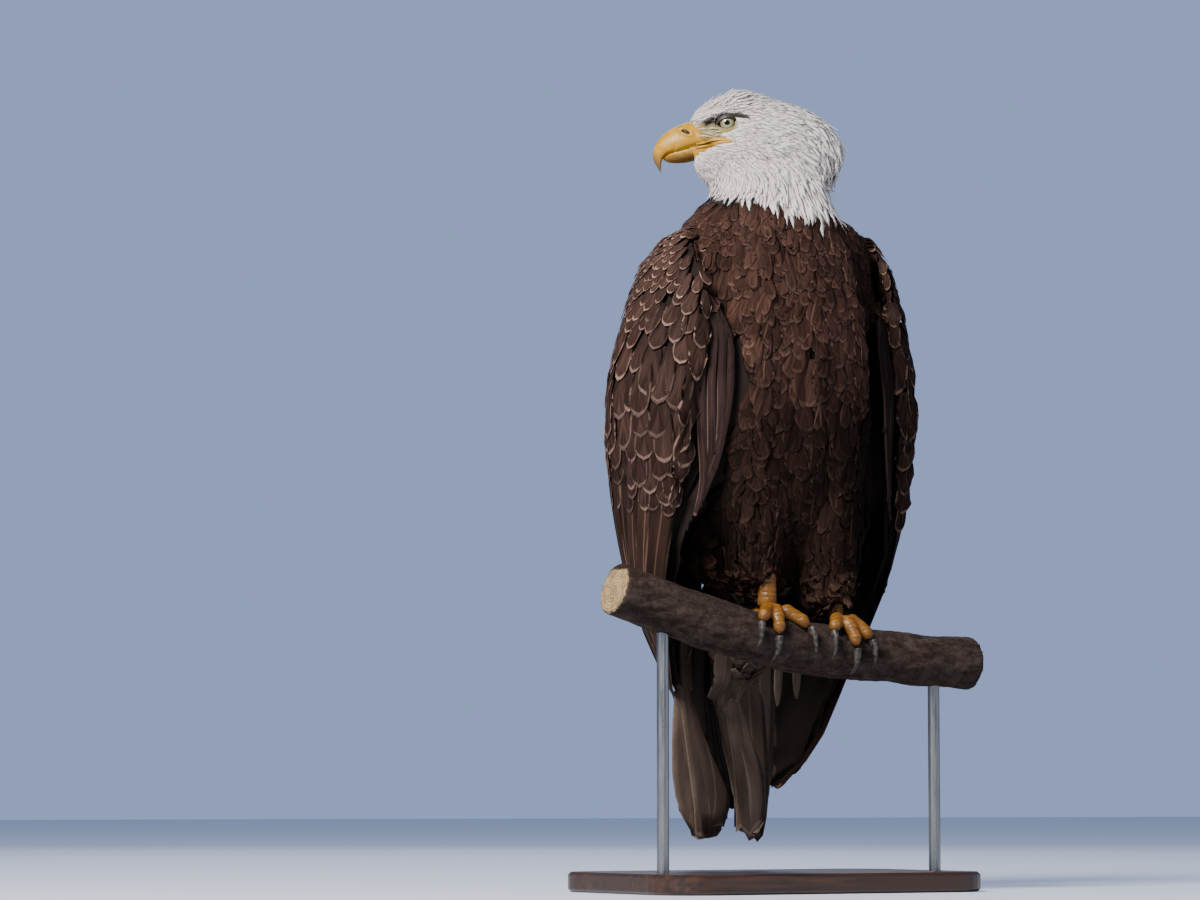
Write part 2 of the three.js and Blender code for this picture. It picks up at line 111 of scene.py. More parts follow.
def headPlace(points):
    # the same three distances of places in the model
    off = (points - headCentre) / mm
    return off @ forward, off @ leftward, off[..., 2]


def showPiece(mesh, name, looks, standsFor=()):
    piece = bpy.data.objects.new(name, mesh)
    bpy.context.collection.objects.link(piece)
    for look in looks:
        mesh.materials.append(look)
    mesh.shade_smooth()
    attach(piece, "root")
    if standsFor:
        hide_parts(*standsFor)
    return piece


def meshOf(made, name):
    mesh = bpy.data.meshes.new(name)
    made.to_mesh(mesh)
    made.free()
    return mesh


def store(mesh, **values):
    # one number for each point, for a material to read
    for label, numbers in values.items():
        attribute = mesh.attributes.new(label, "FLOAT", "POINT")
        attribute.data.foreach_set("value", np.asarray(numbers, np.float32))


def pointsOf(mesh):
    points = np.zeros(len(mesh.vertices) * 3)
    mesh.vertices.foreach_get("co", points)
    return points.reshape(-1, 3)


def normalsOf(mesh):
    return np.array([v.normal for v in mesh.vertices])


def copyOf(*names):
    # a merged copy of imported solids
    made = bmesh.new()
    for name in names:
        made.from_mesh(nodes[name].data)
    bmesh.ops.remove_doubles(made, verts=made.verts, dist=1e-6)
    bmesh.ops.recalc_face_normals(made, faces=made.faces)
    return made


def modified(mesh, *steps):
    # the mesh after modifiers, each given as a kind and its settings
    body = bpy.data.objects.new("modified", mesh)
    bpy.context.collection.objects.link(body)
    for kind, settings in steps:
        modifier = body.modifiers.new(kind.lower(), kind)
        for key, value in settings.items():
            setattr(modifier, key, value)
    result = bpy.data.meshes.new_from_object(body.evaluated_get(bpy.context.evaluated_depsgraph_get()))
    bpy.data.objects.remove(body)
    return result


def remeshed(names, voxel, smoothing):
    # one closed surface round several solids
    return modified(meshOf(copyOf(*names), "remeshing"), ("REMESH", {"mode": "VOXEL", "voxel_size": voxel}),
                    ("SMOOTH", {"factor": 0.5, "iterations": smoothing}))


def shaped(around, along, place):
    # a closed form from a grid rolled round: place(angle, share) gives its points
    made = bmesh.new()
    bmesh.ops.create_grid(made, x_segments=around, y_segments=along, size=1)
    for vertex in made.verts:
        turn = math.pi * (vertex.co.x + 1)
        vertex.co = Vector(place(0 if turn > 2 * math.pi - 1e-6 else turn, (vertex.co.y + 1) / 2))
    bmesh.ops.remove_doubles(made, verts=made.verts, dist=2e-6)
    bmesh.ops.dissolve_degenerate(made, edges=made.edges, dist=1e-7)
    bmesh.ops.recalc_face_normals(made, faces=made.faces)
    return made


def surfaceOf(mesh):
    # arrays and a search tree of a mesh of quads, for placing feathers on it
    points = pointsOf(mesh)
    normals = normalsOf(mesh)
    faces = np.array([(*f.vertices, f.vertices[-1])[:4] for f in mesh.polygons])
    tree = BVHTree.FromPolygons([tuple(p) for p in points], [tuple(f.vertices) for f in mesh.polygons])
    return {"points": points, "faces": faces, "tree": tree, "vertexNormals": normals,
            "normals": unit(normals[faces].mean(1)), "centres": points[faces].mean(1)}


def nearest(surface, points):
    found = [surface["tree"].find_nearest(tuple(p)) for p in points]
    index = [f[2] for f in found]
    return np.array([tuple(f[0]) for f in found]), surface["normals"][index]


def vaneTemplate(around, rows):
    # a flat closed tube: each point has a share across, a side up or down and a row from root to tip
    made = bmesh.new()
    bmesh.ops.create_cone(made, cap_ends=True, segments=around, radius1=1, radius2=1, depth=1,
                          matrix=Matrix.Translation((0, 0, 0.5)))
    for row in range(1, len(rows) - 1):
        everything = made.verts[:] + made.edges[:] + made.faces[:]
        bmesh.ops.bisect_plane(made, geom=everything, plane_co=(0, 0, row / (len(rows) - 1)),
                               plane_no=(0, 0, 1))
    points = np.array([v.co for v in made.verts])
    made.verts.index_update()
    faces = [[v.index for v in f.verts] for f in made.faces]
    made.free()
    return {
        "across": np.sign(points[:, 0]) * np.abs(points[:, 0]) ** 1.3,
        "up": np.sign(np.round(points[:, 1], 3)),
        "row": np.round(points[:, 2] * (len(rows) - 1)).astype(int),
        "rows": np.array(rows, float),
        "loops": np.concatenate(faces),
        "sizes": np.array([len(f) for f in faces]),
    }


def walked(surface, roots, flow, lengths, rows, bendLimit):
    # follows the surface from each root along the flow, and gives places and normals for each row
    place, normal = nearest(surface, roots)
    ahead = unit(flow - dotted(flow, normal) * normal)
    places, normals = [place], [normal]
    for share in np.diff(rows):
        step = (lengths * share)[:, None]
        guess = place + ahead * step
        hit, hitNormal = nearest(surface, guess)
        off = hit - guess
        far = np.linalg.norm(off, axis=1, keepdims=True)
        off *= np.minimum(1, bendLimit * step / np.maximum(far, 1e-9))
        place, before = guess + off, place
        ahead = unit(place - before)
        normal = unit(normal * 0.4 + hitNormal * 0.6)
        places.append(place)
        normals.append(normal)
    return np.stack(places, 1), np.stack(normals, 1)


def featherMesh(name, template, places, normals, kind, lengths, widths, bakeRoots, dice, lift=1.0, stand=0.0,
                shade=0.0):
    # one mesh of many feathers: kind holds the half width and height of each row, and how they vary
    count, row, across = len(places), template["row"], template["across"]
    share = template["rows"][row]
    along = unit(np.gradient(places, axis=1))
    side = unit(np.cross(normals, along))
    out = np.cross(along, side)
    half = np.array(kind["half"])[row] * widths[:, None] / 2
    sway = dice.normal(0, kind["sway"], count)[:, None] * lengths[:, None]
    offSide = half * across + sway * share ** 2
    lift, stand = np.reshape(lift, (-1, 1)), np.reshape(stand, (-1, 1))
    rise = np.array(kind["height"])[row] * mm * lift + stand * mm * share ** 1.6
    loose = (dice.random(count) ** 2 * kind["loose"] * mm)[:, None] * share ** 2
    roll = dice.normal(0, kind["roll"], count)[:, None] * across * half
    body = template["up"] * kind["thick"] * mm / 2 * np.sqrt(np.maximum(1 - share, 0.12))
    offOut = rise + loose + roll + body - kind["cup"] * across ** 2 * half
    back = kind.get("round", 0) * across ** 2 * half * smoothstep(share, 0.45, 1)
    if kind.get("split"):
        # uneven ends where the barbs part
        ragged = dice.random((count, len(row))) * kind["split"] * lengths[:, None]
        back = back + ragged * smoothstep(share, 0.55, 1)
    co = places[:, row] + side[:, row] * offSide[..., None] + out[:, row] * offOut[..., None]
    co -= along[:, row] * back[..., None]

    size = len(row)
    loops = (template["loops"] + (np.arange(count) * size)[:, None]).ravel()
    sizes = np.tile(template["sizes"], count)
    mesh = bpy.data.meshes.new(name)
    mesh.vertices.add(count * size)
    mesh.vertices.foreach_set("co", co.astype(np.float32).ravel())
    mesh.loops.add(len(loops))
    mesh.loops.foreach_set("vertex_index", loops.astype(np.int32))
    mesh.polygons.add(len(sizes))
    mesh.polygons.foreach_set("loop_start", np.r_[0, np.cumsum(sizes)[:-1]].astype(np.int32))
    mesh.update(calc_edges=True)

    vane = np.stack([0.5 + across / 2, share], -1)
    patch = bakeRoots[:, None, :] + (vane - 0.5) * bakePatch
    for label, values in (("vane", np.tile(vane, (count, 1))), ("OFBake", patch.reshape(-1, 2))):
        layer = mesh.uv_layers.new(name=label)
        layer.data.foreach_set("uv", values[loops].astype(np.float32).ravel())
    shade = np.broadcast_to(shade, (count,))
    store(mesh, tint=np.repeat(dice.random(count), size), shade=np.repeat(shade, size))
    return mesh


def scattered(surface, wanted, spacing, dice, tall, tries=7, closest=0.88):
    # evenly spread places on the wanted faces of a surface, further apart in height where tall is over 1
    faces = np.flatnonzero(wanted)
    corners = surface["points"][surface["faces"][faces]]
    area = np.linalg.norm(np.cross(corners[:, 2] - corners[:, 0], corners[:, 3] - corners[:, 1]), axis=1) / 2
    gap = np.broadcast_to(spacing, wanted.shape)[faces]
    weight = area / gap ** 2
    chosen = dice.choice(len(faces), int(weight.sum() * tries / tall), p=weight / weight.sum())
    a, b = dice.random((2, len(chosen), 1))
    c = corners[chosen]
    points = (c[:, 0] * (1 - a) + c[:, 1] * a) * (1 - b) + (c[:, 3] * (1 - a) + c[:, 2] * a) * b
    squeezed = points / np.array([1, 1, tall])
    tree = kdtree.KDTree(len(points))
    for i, p in enumerate(squeezed):
        tree.insert(p, i)
    tree.balance()
    alive = np.ones(len(points), bool)
    kept = []
    for i, p in enumerate(squeezed):
        if alive[i]:
            kept.append(i)
            for _, j, _ in tree.find_range(p, gap[chosen[i]] * closest):
                alive[j] = False
    return points[kept], gap[chosen[kept]]


class Nodes:
    # a short way to add and join the nodes of one tree
    def __init__(self, tree):
        self.tree = tree

    def add(self, kind, settings=None, **sockets):
        node = self.tree.nodes.new(kind)
        for key, value in (settings or {}).items():
            setattr(node, key, value)
        for key, value in sockets.items():
            self.set(node, key.replace("_", " "), value)
        return node

    def set(self, node, name, value):
        socket = node.inputs[int(name[1:]) if name[0] == "n" and name[1:].isdigit() else name]
        if isinstance(value, bpy.types.NodeSocket):
            self.tree.links.new(value, socket)
        else:
            socket.default_value = value

    def math(self, operation, *values):
        given = {f"n{i}": v for i, v in enumerate(values)}
        return self.add("ShaderNodeMath", {"operation": operation}, **given).outputs[0]

    def plus(self, a, b):
        return self.math("ADD", a, b)

    def minus(self, a, b):
        return self.math("SUBTRACT", a, b)

    def times(self, a, b):
        return self.math("MULTIPLY", a, b)

    def mix(self, factor, a, b, blend="MIX"):
        node = self.tree.nodes.new("ShaderNodeMix")
        node.data_type = "RGBA"
        node.blend_type = blend
        for i, value in ((0, factor), (6, a), (7, b)):
            if isinstance(value, bpy.types.NodeSocket):
                self.tree.links.new(value, node.inputs[i])
            else:
                node.inputs[i].default_value = value
        return node.outputs[2]

    def steps(self, value, low, high, a=0.0, b=1.0):
        settings = {"interpolation_type": "SMOOTHSTEP"}
        return self.add("ShaderNodeMapRange", settings, Value=value, From_Min=low, From_Max=high,
                        To_Min=a, To_Max=b).outputs[0]

    def noise(self, vector, scale, detail=3.0, roughness=0.55):
        return self.add("ShaderNodeTexNoise", None, Vector=vector, Scale=scale, Detail=detail,
                        Roughness=roughness).outputs["Fac"]

    def joined(self, x=0.0, y=0.0, z=0.0):
        return self.add("ShaderNodeCombineXYZ", None, X=x, Y=y, Z=z).outputs[0]

    def grey(self, level):
        return self.joined(level, level, level)

    def read(self, name):
        return self.add("ShaderNodeAttribute", {"attribute_name": name}).outputs["Fac"]

    def place(self):
        return self.add("ShaderNodeTexCoord").outputs["Object"]

    def stretched(self, scale, turn=0.0):
        return self.add("ShaderNodeMapping", {"vector_type": "POINT"}, Vector=self.place(), Scale=scale,
                        Rotation=(0, 0, turn)).outputs[0]

    def blotched(self, mottle, low, high, first, second):
        return self.mix(self.steps(mottle, low, high), colour(first), colour(second))

    def finish(self, shader, base, height, strength, distance):
        # the colour of a material and the fine relief of its surface
        self.set(shader, "Base Color", base)
        bump = self.add("ShaderNodeBump", None, Height=height, Strength=strength, Distance=distance)
        self.set(shader, "Normal", bump.outputs[0])


def colour(hexText):
    values = [int(hexText[i:i + 2], 16) / 255 for i in (0, 2, 4)]
    return (*[v / 12.92 if v <= 0.04045 else ((v + 0.055) / 1.055) ** 2.4 for v in values], 1)


def plainMaterial(name, roughness, settings=None):
    look = bpy.data.materials.new(name)
    look.use_nodes = True
    made = Nodes(look.node_tree)
    shader = look.node_tree.nodes["Principled BSDF"]
    for label, value in {"Roughness": roughness, **(settings or {})}.items():
        made.set(shader, label, value)
    return look, made, shader


def newGroup(name, inputs, outputs):
    group = bpy.data.node_groups.new(name, "ShaderNodeTree")
    kinds = {"colour": "NodeSocketColor", "value": "NodeSocketFloat"}
    for label, (kind, value) in inputs.items():
        socket = group.interface.new_socket(label, in_out="INPUT", socket_type=kinds[kind])
        socket.default_value = value
    for label, kind in outputs.items():
        group.interface.new_socket(label, in_out="OUTPUT", socket_type=kinds[kind])
    made = Nodes(group)
    return group, made, made.add("NodeGroupInput").outputs, made.add("NodeGroupOutput")


def featherGroup():
    # colour and height over one feather, from its own map: barbs, shaft, pale rim, painted shade at its base
    white = (1, 1, 1, 1)
    group, made, given, out = newGroup("featherLook", {
        "Base": ("colour", white), "Light": ("colour", white), "Rim": ("colour", white),
        "Rim Width": ("value", 0.2), "Rim Strength": ("value", 0.5), "Aspect": ("value", 2.4),
        "Root Dark": ("value", 0.4), "Barb Density": ("value", 24.0), "Barb Slope": ("value", 0.5),
        "Shaft": ("value", 0.3), "Patches": ("value", 0.3),
    }, {"Color": "colour", "Height": "value"})
    vane = made.add("ShaderNodeUVMap", {"uv_map": "vane"}).outputs[0]
    split = made.add("ShaderNodeSeparateXYZ", None, Vector=vane).outputs
    tint = made.read("tint")
    fromShaft = made.math("ABSOLUTE", made.math("MULTIPLY_ADD", split[0], 2.0, -1.0))
    along = made.minus(split[1], made.times(fromShaft, given["Barb Slope"]))
    seed = made.times(tint, 73.0)
    dense = made.times(along, given["Barb Density"])
    barbs = made.noise(made.joined(dense, made.times(split[0], 1.6), seed), 1.6, 4.0, 0.7)
    broad = made.noise(made.joined(made.times(along, 2.4), split[0], seed), 1.3, 2.0)
    mixture = made.plus(broad, made.times(barbs, 0.35))
    body = made.mix(made.steps(mixture, 0.45, 0.95), given["Base"], given["Light"])

    toTip = made.minus(1.0, made.times(made.minus(1.0, split[1]), given["Aspect"]))
    edge = made.math("MAXIMUM", made.times(fromShaft, made.steps(split[1], 0.1, 0.5)), toTip)
    ragged = made.plus(edge, made.math("MULTIPLY_ADD", barbs, 0.16, -0.08))
    start = made.minus(1.0, given["Rim Width"])
    full = made.minus(1.0, made.times(given["Rim Width"], 0.45))
    rim = made.times(made.steps(ragged, start, full), given["Rim Strength"])
    painted = made.mix(rim, body, given["Rim"])
    shaftLine = made.steps(fromShaft, 0.09, 0.02)
    painted = made.mix(made.times(shaftLine, given["Shaft"]), painted, given["Rim"])
    # painted shade: each feather's base is darkened towards near black, where the next feathers cover it
    root = made.times(made.steps(split[1], 0.6, 0.1), given["Root Dark"])
    painted = made.mix(root, painted, (0.012, 0.009, 0.007, 1))

    patches = made.plus(made.noise(made.place(), 22.0, 2.0), tint)
    level = made.math("MULTIPLY_ADD", made.minus(patches, 1.0), given["Patches"], 1.0)
    # the shade number darkens or lightens whole feathers; over the belly, the bird's left side and the left
    # wing it is painted shade
    level = made.times(level, made.math("MULTIPLY_ADD", made.read("shade"), -0.85, 1.0))
    made.set(out, "Color", made.mix(1.0, painted, made.grey(level), "MULTIPLY"))
    height = made.plus(made.times(barbs, 0.7), made.times(shaftLine, 0.4))
    made.set(out, "Height", height)
    return group


featherLook = featherGroup()


def featherMaterial(name, roughness, bump, painted, shine=None):
    look, made, shader = plainMaterial(name, roughness, {"Specular IOR Level": 0.06, **(shine or {})})
    group = made.add("ShaderNodeGroup", {"node_tree": featherLook})
    for label, value in painted.items():
        made.set(group, label, colour(value) if isinstance(value, str) else value)
    made.finish(shader, group.outputs["Color"], group.outputs["Height"], bump, 0.0006)
    return look


bodyBarbs = {"Rim Width": 0.3, "Barb Density": 18.0, "Barb Slope": 1.1, "Shaft": 0.0}
quillBarbs = {"Root Dark": 0.2, "Barb Density": 90.0, "Barb Slope": 0.1, "Aspect": 14.0}
looks = {
    "white": featherMaterial("white_plumage", 0.65, 0.25, {
        "Base": "F9EAE2", "Light": "FFF6F0", "Rim": "FFF8F4", "Rim Width": 0.4, "Rim Strength": 0.4,
        "Root Dark": 0.0, "Barb Density": 7.0, "Barb Slope": 1.2, "Shaft": 0.05, "Patches": 0.05,
    }, {"Sheen Weight": 0.15, "Specular IOR Level": 0.2, "Subsurface Weight": 0.35,
        "Subsurface Radius": (1.0, 0.95, 0.9), "Subsurface Scale": 0.004}),
    "brown": featherMaterial("brown_plumage", 0.8, 0.25, {
        **bodyBarbs, "Base": "2A1A15", "Light": "4A332B", "Rim": "6E564B", "Rim Strength": 0.3,
        "Root Dark": 0.3, "Patches": 0.6}),
    "thigh": featherMaterial("thigh_plumage", 0.8, 0.3, {
        **bodyBarbs, "Base": "24150F", "Light": "3B2720", "Rim": "5A443A", "Rim Strength": 0.35,
        "Root Dark": 0.4, "Patches": 0.5}),
    "covert": featherMaterial("wing_plumage", 0.7, 0.2, {
        "Base": "2A1B17", "Light": "47332D", "Rim": "987A6C", "Rim Width": 0.22, "Rim Strength": 0.8,
        "Root Dark": 0.4, "Barb Density": 24.0, "Barb Slope": 0.8, "Shaft": 0.06, "Patches": 0.45}),
    "flight": featherMaterial("flight_feathers", 0.7, 0.25, {
        **quillBarbs, "Base": "291A15", "Light": "412E27", "Rim": "957564", "Rim Width": 0.22,
        "Rim Strength": 0.75, "Shaft": 0.3, "Patches": 0.35}),
    "panel": featherMaterial("panel_feathers", 0.7, 0.25, {
        **quillBarbs, "Base": "251A18", "Light": "3C2C2A", "Rim": "7A6158", "Rim Width": 0.3,
        "Rim Strength": 0.55, "Aspect": 20.0, "Shaft": 0.15, "Patches": 0.4}),
    "dark": featherMaterial("dark_flight_feathers", 0.6, 0.25, {
        **quillBarbs, "Base": "120D0D", "Light": "1F1817", "Rim": "332A28", "Rim Width": 0.2,
        "Rim Strength": 0.4, "Shaft": 0.25, "Patches": 0.25}),
    # painted shade: the white feathers of the tail and round its root are coloured grey-brown, as they look
    # in shadow
    "tail": featherMaterial("tail_plumage", 0.75, 0.2, {
        **quillBarbs, "Base": "493C35", "Light": "63544B", "Rim": "8C7C70", "Rim Width": 0.12,
        "Rim Strength": 0.5, "Aspect": 8.0, "Root Dark": 0.1, "Barb Density": 70.0, "Shaft": 0.25,
        "Patches": 0.3}),
}
print("materials of the coat made")

fleshNodes = ["head", "neck", "trunk", "rump", "thigh_right", "thigh_left"]
wingNodes = [f"wing_{side}_{part}" for side in sides for part in ("coverts", "secondaries", "primaries")]
tailNodes = ["tail_right", "tail_left"]
footNodes = [f"tarsus_{side}" for side in sides] + [f"toe_{side}_{i}" for side in sides for i in (1, 2, 3, 4)]

branchMiddle = [[-215, 296], [-110, 265], [-20, 245], [90, 236], [205, 230]]  # across and height

skin = {
    "voxel": 3.0 * mm, "smoothing": 6, "footVoxel": 1.5 * mm, "footSmoothing": 5, "share": 0.5,
    "depth": profile([[0.05, 2.2], [0.3, 3], [0.36, 4.5], [0.6, 5], [0.7, 3.6], [0.75, 1.6]]),
    "scale": 5.2 * mm, "scaleHeight": 0.35 * mm, "tailLift": 12 * mm, "ankle": [0.285, 0.292],
    "gripRadius": 0.034, "faceFrom": 0.7, "foldLow": 0.25, "foldDeep": 1.3,
}
outerMesh = remeshed(fleshNodes + wingNodes + tailNodes, skin["voxel"], skin["smoothing"])


border = {"height": 0.68, "fall": 0.17, "left": 0.3, "leftWide": 0.08, "rear": 0.3, "rearFrom": 0.04,
          "rearWide": 0.07}


def whiteBorder(points):
    # the height at which the white plumage ends
    x, y = points[..., 0], points[..., 1]
    left = border["left"] * np.clip(x, 0, border["leftWide"])
    rear = border["rear"] * np.clip(y - border["rearFrom"], 0, border["rearWide"])
    return border["height"] - border["fall"] * x + left + rear


neckShift = {
    "axis": (0.0035, 0.055), "nape": (0.65, 0.68, 0.72, 0.76), "napeDeep": 0.01,
    "shoulder": (0.59, 0.64, 0.665, 0.69), "shoulderReach": (0.06, 0.09), "shoulderRise": 0.009,
}


def sloped(points):
    # the back and left of the neck are drawn in a little, and the left shoulder below them raised
    z = points[:, 2]
    off = points[:, :2] - neckShift["axis"]
    reach = np.maximum(np.linalg.norm(off, axis=1), 1e-6)
    leftBack = smoothstep(off[:, 0] / reach + 0.3 * off[:, 1] / reach, 0.1, 0.7)
    nape = hump(z, *neckShift["nape"]) * leftBack
    shoulder = hump(z, *neckShift["shoulder"]) * smoothstep(reach, *neckShift["shoulderReach"])
    points[:, :2] -= off / reach[:, None] * (nape * neckShift["napeDeep"])[:, None]
    points[:, 2] += shoulder * leftBack * neckShift["shoulderRise"]
    return points


outerMesh.vertices.foreach_set("co", sloped(pointsOf(outerMesh)).ravel())
outerMesh.update()
outer = surfaceOf(outerMesh)
print("outer surface", len(outer["faces"]), "faces")


chinLine = profile([[28, -9], [40, -10.5], [46, -12], [59, -17], [66, -22]])
mouthLine = profile([[25, -5.4], [46, -5.6], [61, -7.4]])
browTop = [[8, 17.5], [20, 21.4], [31, 21.6], [42, 19.4], [56, 14.2]]
browLine = profile(browTop)
billSide = profile([[40, 17.5], [50, 15.5], [60, 13], [70, 11]])


def drawnIn(s, h, reach):
    # the cheek narrows towards the root of the bill and passes under it
    start = 40 + 10 * smoothstep(h, -9, -1)
    return reach + (np.minimum(reach, billSide(s) - 1.6) - reach) * smoothstep(s - start, 0, 14)


def browBand(s, h):
    off = h - browLine(s)
    under = 2.4 + 6 * smoothstep(s, 34, 40)
    return hump(off, -under - 2, -under, 0.8, 2.6) * hump(s, 8, 14, 55, 59)


bareAreas = {
    "lore": (52, 5, 19, 11), "eye": (31.5, 11.5, 13, 9), "gape": (44, -3.5, 22, 4.2),  # middle and radii
    "fromMiddle": 3,
}


def bareFace(s, l, h):
    # 1 on the bare skin before and round the eye, along the gape and at the root of the lower bill
    def oval(key):
        middleS, middleH, wide, high = bareAreas[key]
        return 1 - smoothstep(np.hypot((s - middleS) / wide, (h - middleH) / high), 0.75, 1.05)

    aboveChin = smoothstep(h - chinLine(s), -1, 1.5)
    jaw = aboveChin * (1 - smoothstep(h, 0, 6)) * smoothstep(s, 34, 42)
    root = smoothstep(s, 60, 65) * (1 - smoothstep(h, 13, 17)) * aboveChin
    areas = [oval("lore"), oval("eye"), oval("gape"), jaw, root, browBand(s, h)]
    return np.maximum.reduce(areas) * (np.abs(l) > bareAreas["fromMiddle"])


def solidFaces(names):
    # several solids as one, with the number of the solid that each face belongs to
    corners, faces, owner = [], [], []
    for number, name in enumerate(names):
        data = nodes[name].data
        base = len(corners)
        corners += [tuple(v.co) for v in data.vertices]
        faces += [[base + i for i in f.vertices] for f in data.polygons]
        owner += [number] * len(data.polygons)
    return corners, faces, owner


def treeOf(*names):
    return BVHTree.FromPolygons(*solidFaces(names)[:2])


def nearestNode(names, points):
    tree, owner = treeOf(*names), solidFaces(names)[2]
    return np.array([owner[tree.find_nearest(tuple(p))[2]] for p in points])


def closeTo(names, points, wanted, distance):
    # which of the wanted points lie within a distance of some solids
    tree = treeOf(*names)
    close = np.zeros(len(points), bool)
    for i in np.flatnonzero(wanted):
        close[i] = tree.find_nearest(tuple(points[i]), distance)[0] is not None
    return close


def skinMaterial():
    look, made, shader = plainMaterial("skin", 0.75, {"Specular IOR Level": 0.15})
    place = made.place()
    fine = made.noise(place, 900.0)
    blotch = made.noise(place, 160.0)
    # the skin follows the coat's markings: white under the white plumage; under the brown it is near black,
    # painted shade in the gaps
    down = made.mix(made.read("pale"), colour("1D1411"), colour("F2EEEA"))
    # near the tail the skin takes the tail's grey-brown, itself painted shade over white
    down = made.mix(made.read("tailed"), down, colour("4A3D34"))
    face = made.blotched(blotch, 0.3, 0.7, "796F57", "9C8D5C")
    face = made.mix(made.steps(fine, 0.5, 0.75), face, colour("76705A"))
    face = made.mix(made.steps(made.noise(place, 120.0), 0.5, 0.7, 0, 0.6), face, colour("A59B7E"))
    face = made.mix(made.read("gape"), face, colour("B5852A"))
    face = made.mix(made.read("shadow"), face, colour("2E2822"))
    made.finish(shader, made.mix(made.read("bare"), down, face), made.plus(fine, blotch), 0.5, 0.0005)
    return look


def footMaterial():
    look, made, shader = plainMaterial("scaled_skin", 0.42)
    place = made.place()
    cells = made.add("ShaderNodeTexVoronoi", {"feature": "DISTANCE_TO_EDGE"}, Vector=place, Scale=430.0)
    crack = made.steps(cells.outputs["Distance"], 0.0, 0.14)
    plates = made.mix(made.read("plated"), made.grey(crack), made.grey(made.read("band")))
    # the feet's yellow is darkened as painted shade from the body above; the dark cracks between the plates
    # are their own colour
    base = made.blotched(made.noise(place, 110.0), 0.35, 0.7, "734810", "8C5C18")
    made.finish(shader, made.mix(plates, colour("6B4012"), base), plates, 0.6, 0.0006)
    return look


def makeFeet():
    # toes and legs, with a row of broad plates along their fronts
    mesh = remeshed(footNodes, skin["footVoxel"], skin["footSmoothing"])
    points = pointsOf(mesh)
    normals = normalsOf(mesh)
    middle = np.interp(points[:, 0] / mm, *np.transpose(branchMiddle)) * mm
    turn = np.arctan2(points[:, 2] - middle, -points[:, 1])
    leg = smoothstep(points[:, 2], *skin["ankle"])
    along = turn * skin["gripRadius"] * (1 - leg) + points[:, 2] * leg
    ridge = np.abs(np.sin(np.pi * along / skin["scale"])) ** 0.6
    outward = np.stack([np.zeros(len(points)), -np.cos(turn), np.sin(turn)], 1)
    facing = (normals * outward).sum(1) * (1 - leg) - normals[:, 1] * leg
    plated = smoothstep(facing, 0.25, 0.6)
    points += normals * (plated * (ridge - 0.7) * skin["scaleHeight"])[:, None]
    mesh.vertices.foreach_set("co", points.ravel())
    return mesh, ridge, plated


def makeSkin():
    points = outer["points"].copy()
    s, l, h = headPlace(points)
    bare = bareFace(s, l, h) * (points[:, 2] > skin["faceFrom"])
    points -= outer["vertexNormals"] * (skin["depth"](points[:, 2]) * mm * (1 - 0.9 * bare))[:, None]
    inward = (drawnIn(s, h, np.abs(l)) - np.abs(l)) * np.sign(l) * (h < 15) * (h > -24)
    points += leftward * (inward * mm)[:, None]
    points[:, 2] += smoothstep(-points[:, 2], -0.085, -0.05) * skin["tailLift"]
    mesh = outerMesh.copy()
    mesh.vertices.foreach_set("co", points.ravel())
    mesh = modified(mesh, ("DECIMATE", {"ratio": skin["share"]}))
    points = pointsOf(mesh)
    bare = bareFace(*headPlace(points)) * (points[:, 2] > skin["faceFrom"])
    body = bmesh.new()
    body.from_mesh(mesh)
    body.verts.ensure_lookup_table()
    edges = [e for e in body.edges if max(bare[v.index] for v in e.verts) > 0.02]
    bmesh.ops.subdivide_edges(body, edges=edges, cuts=2, use_grid_fill=True)
    body.normal_update()
    for vertex in body.verts:
        s, l, h = headPlace(np.array(vertex.co))
        fold = float(bareFace(s, l, h)) * (vertex.co.z > skin["faceFrom"])
        if fold > 0.05:
            # fine folds that run from the eye to the bill
            ridge = abs(noise.noise(Vector((s * 0.09, (h + 0.25 * s) * 0.5, 3 * np.sign(l)))))
            vertex.co += vertex.normal * float(fold * (skin["foldLow"] - skin["foldDeep"] * ridge) * mm)

    bodyCount, bodyFaces = len(body.verts), len(body.faces)
    feet, ridge, plated = makeFeet()
    body.from_mesh(feet)
    body.faces.ensure_lookup_table()
    for face in body.faces[bodyFaces:]:
        face.material_index = 1
    joined = meshOf(body, "skin")
    points = pointsOf(joined)
    isFoot = np.arange(len(points)) >= bodyCount
    s, l, h = headPlace(points)
    bare = bareFace(s, l, h) * (points[:, 2] > skin["faceFrom"]) * ~isFoot
    gape = np.clip((1 - smoothstep(h, -5, 1)) * 0.9 + smoothstep(s, 50, 66) * 0.8, 0, 1) * bare
    shadow = smoothstep(h - browLine(s), -10, -1) * hump(s, 6, 12, 50, 60) * 0.9
    line = (1 - smoothstep(np.abs(h - mouthLine(s)), 0.4, 1.1)) * smoothstep(s, 34, 42)
    shadow = np.maximum(shadow, line) * bare
    pale = smoothstep(points[:, 2] - whiteBorder(points), -0.004, 0.012)
    x, y, z = points.T
    tailed = closeTo(tailNodes, points, (z < 0.34) & (y > 0.08), 0.007)
    tailed |= (z < 0.28) & (np.abs(x) < 0.05) & (y > 0.05) & (y < 0.15)
    noFoot = np.zeros(bodyCount)
    store(joined, bare=bare, pale=pale, gape=gape, shadow=shadow, tailed=tailed, plated=np.r_[noFoot, plated],
          band=np.r_[noFoot, smoothstep(ridge, 0.25, 0.7)])
    showPiece(joined, "skin", [skinMaterial(), footMaterial()],
              fleshNodes + wingNodes + tailNodes + footNodes)
    print("skin", sum(len(f.vertices) - 2 for f in joined.polygons), "triangles")


makeSkin()


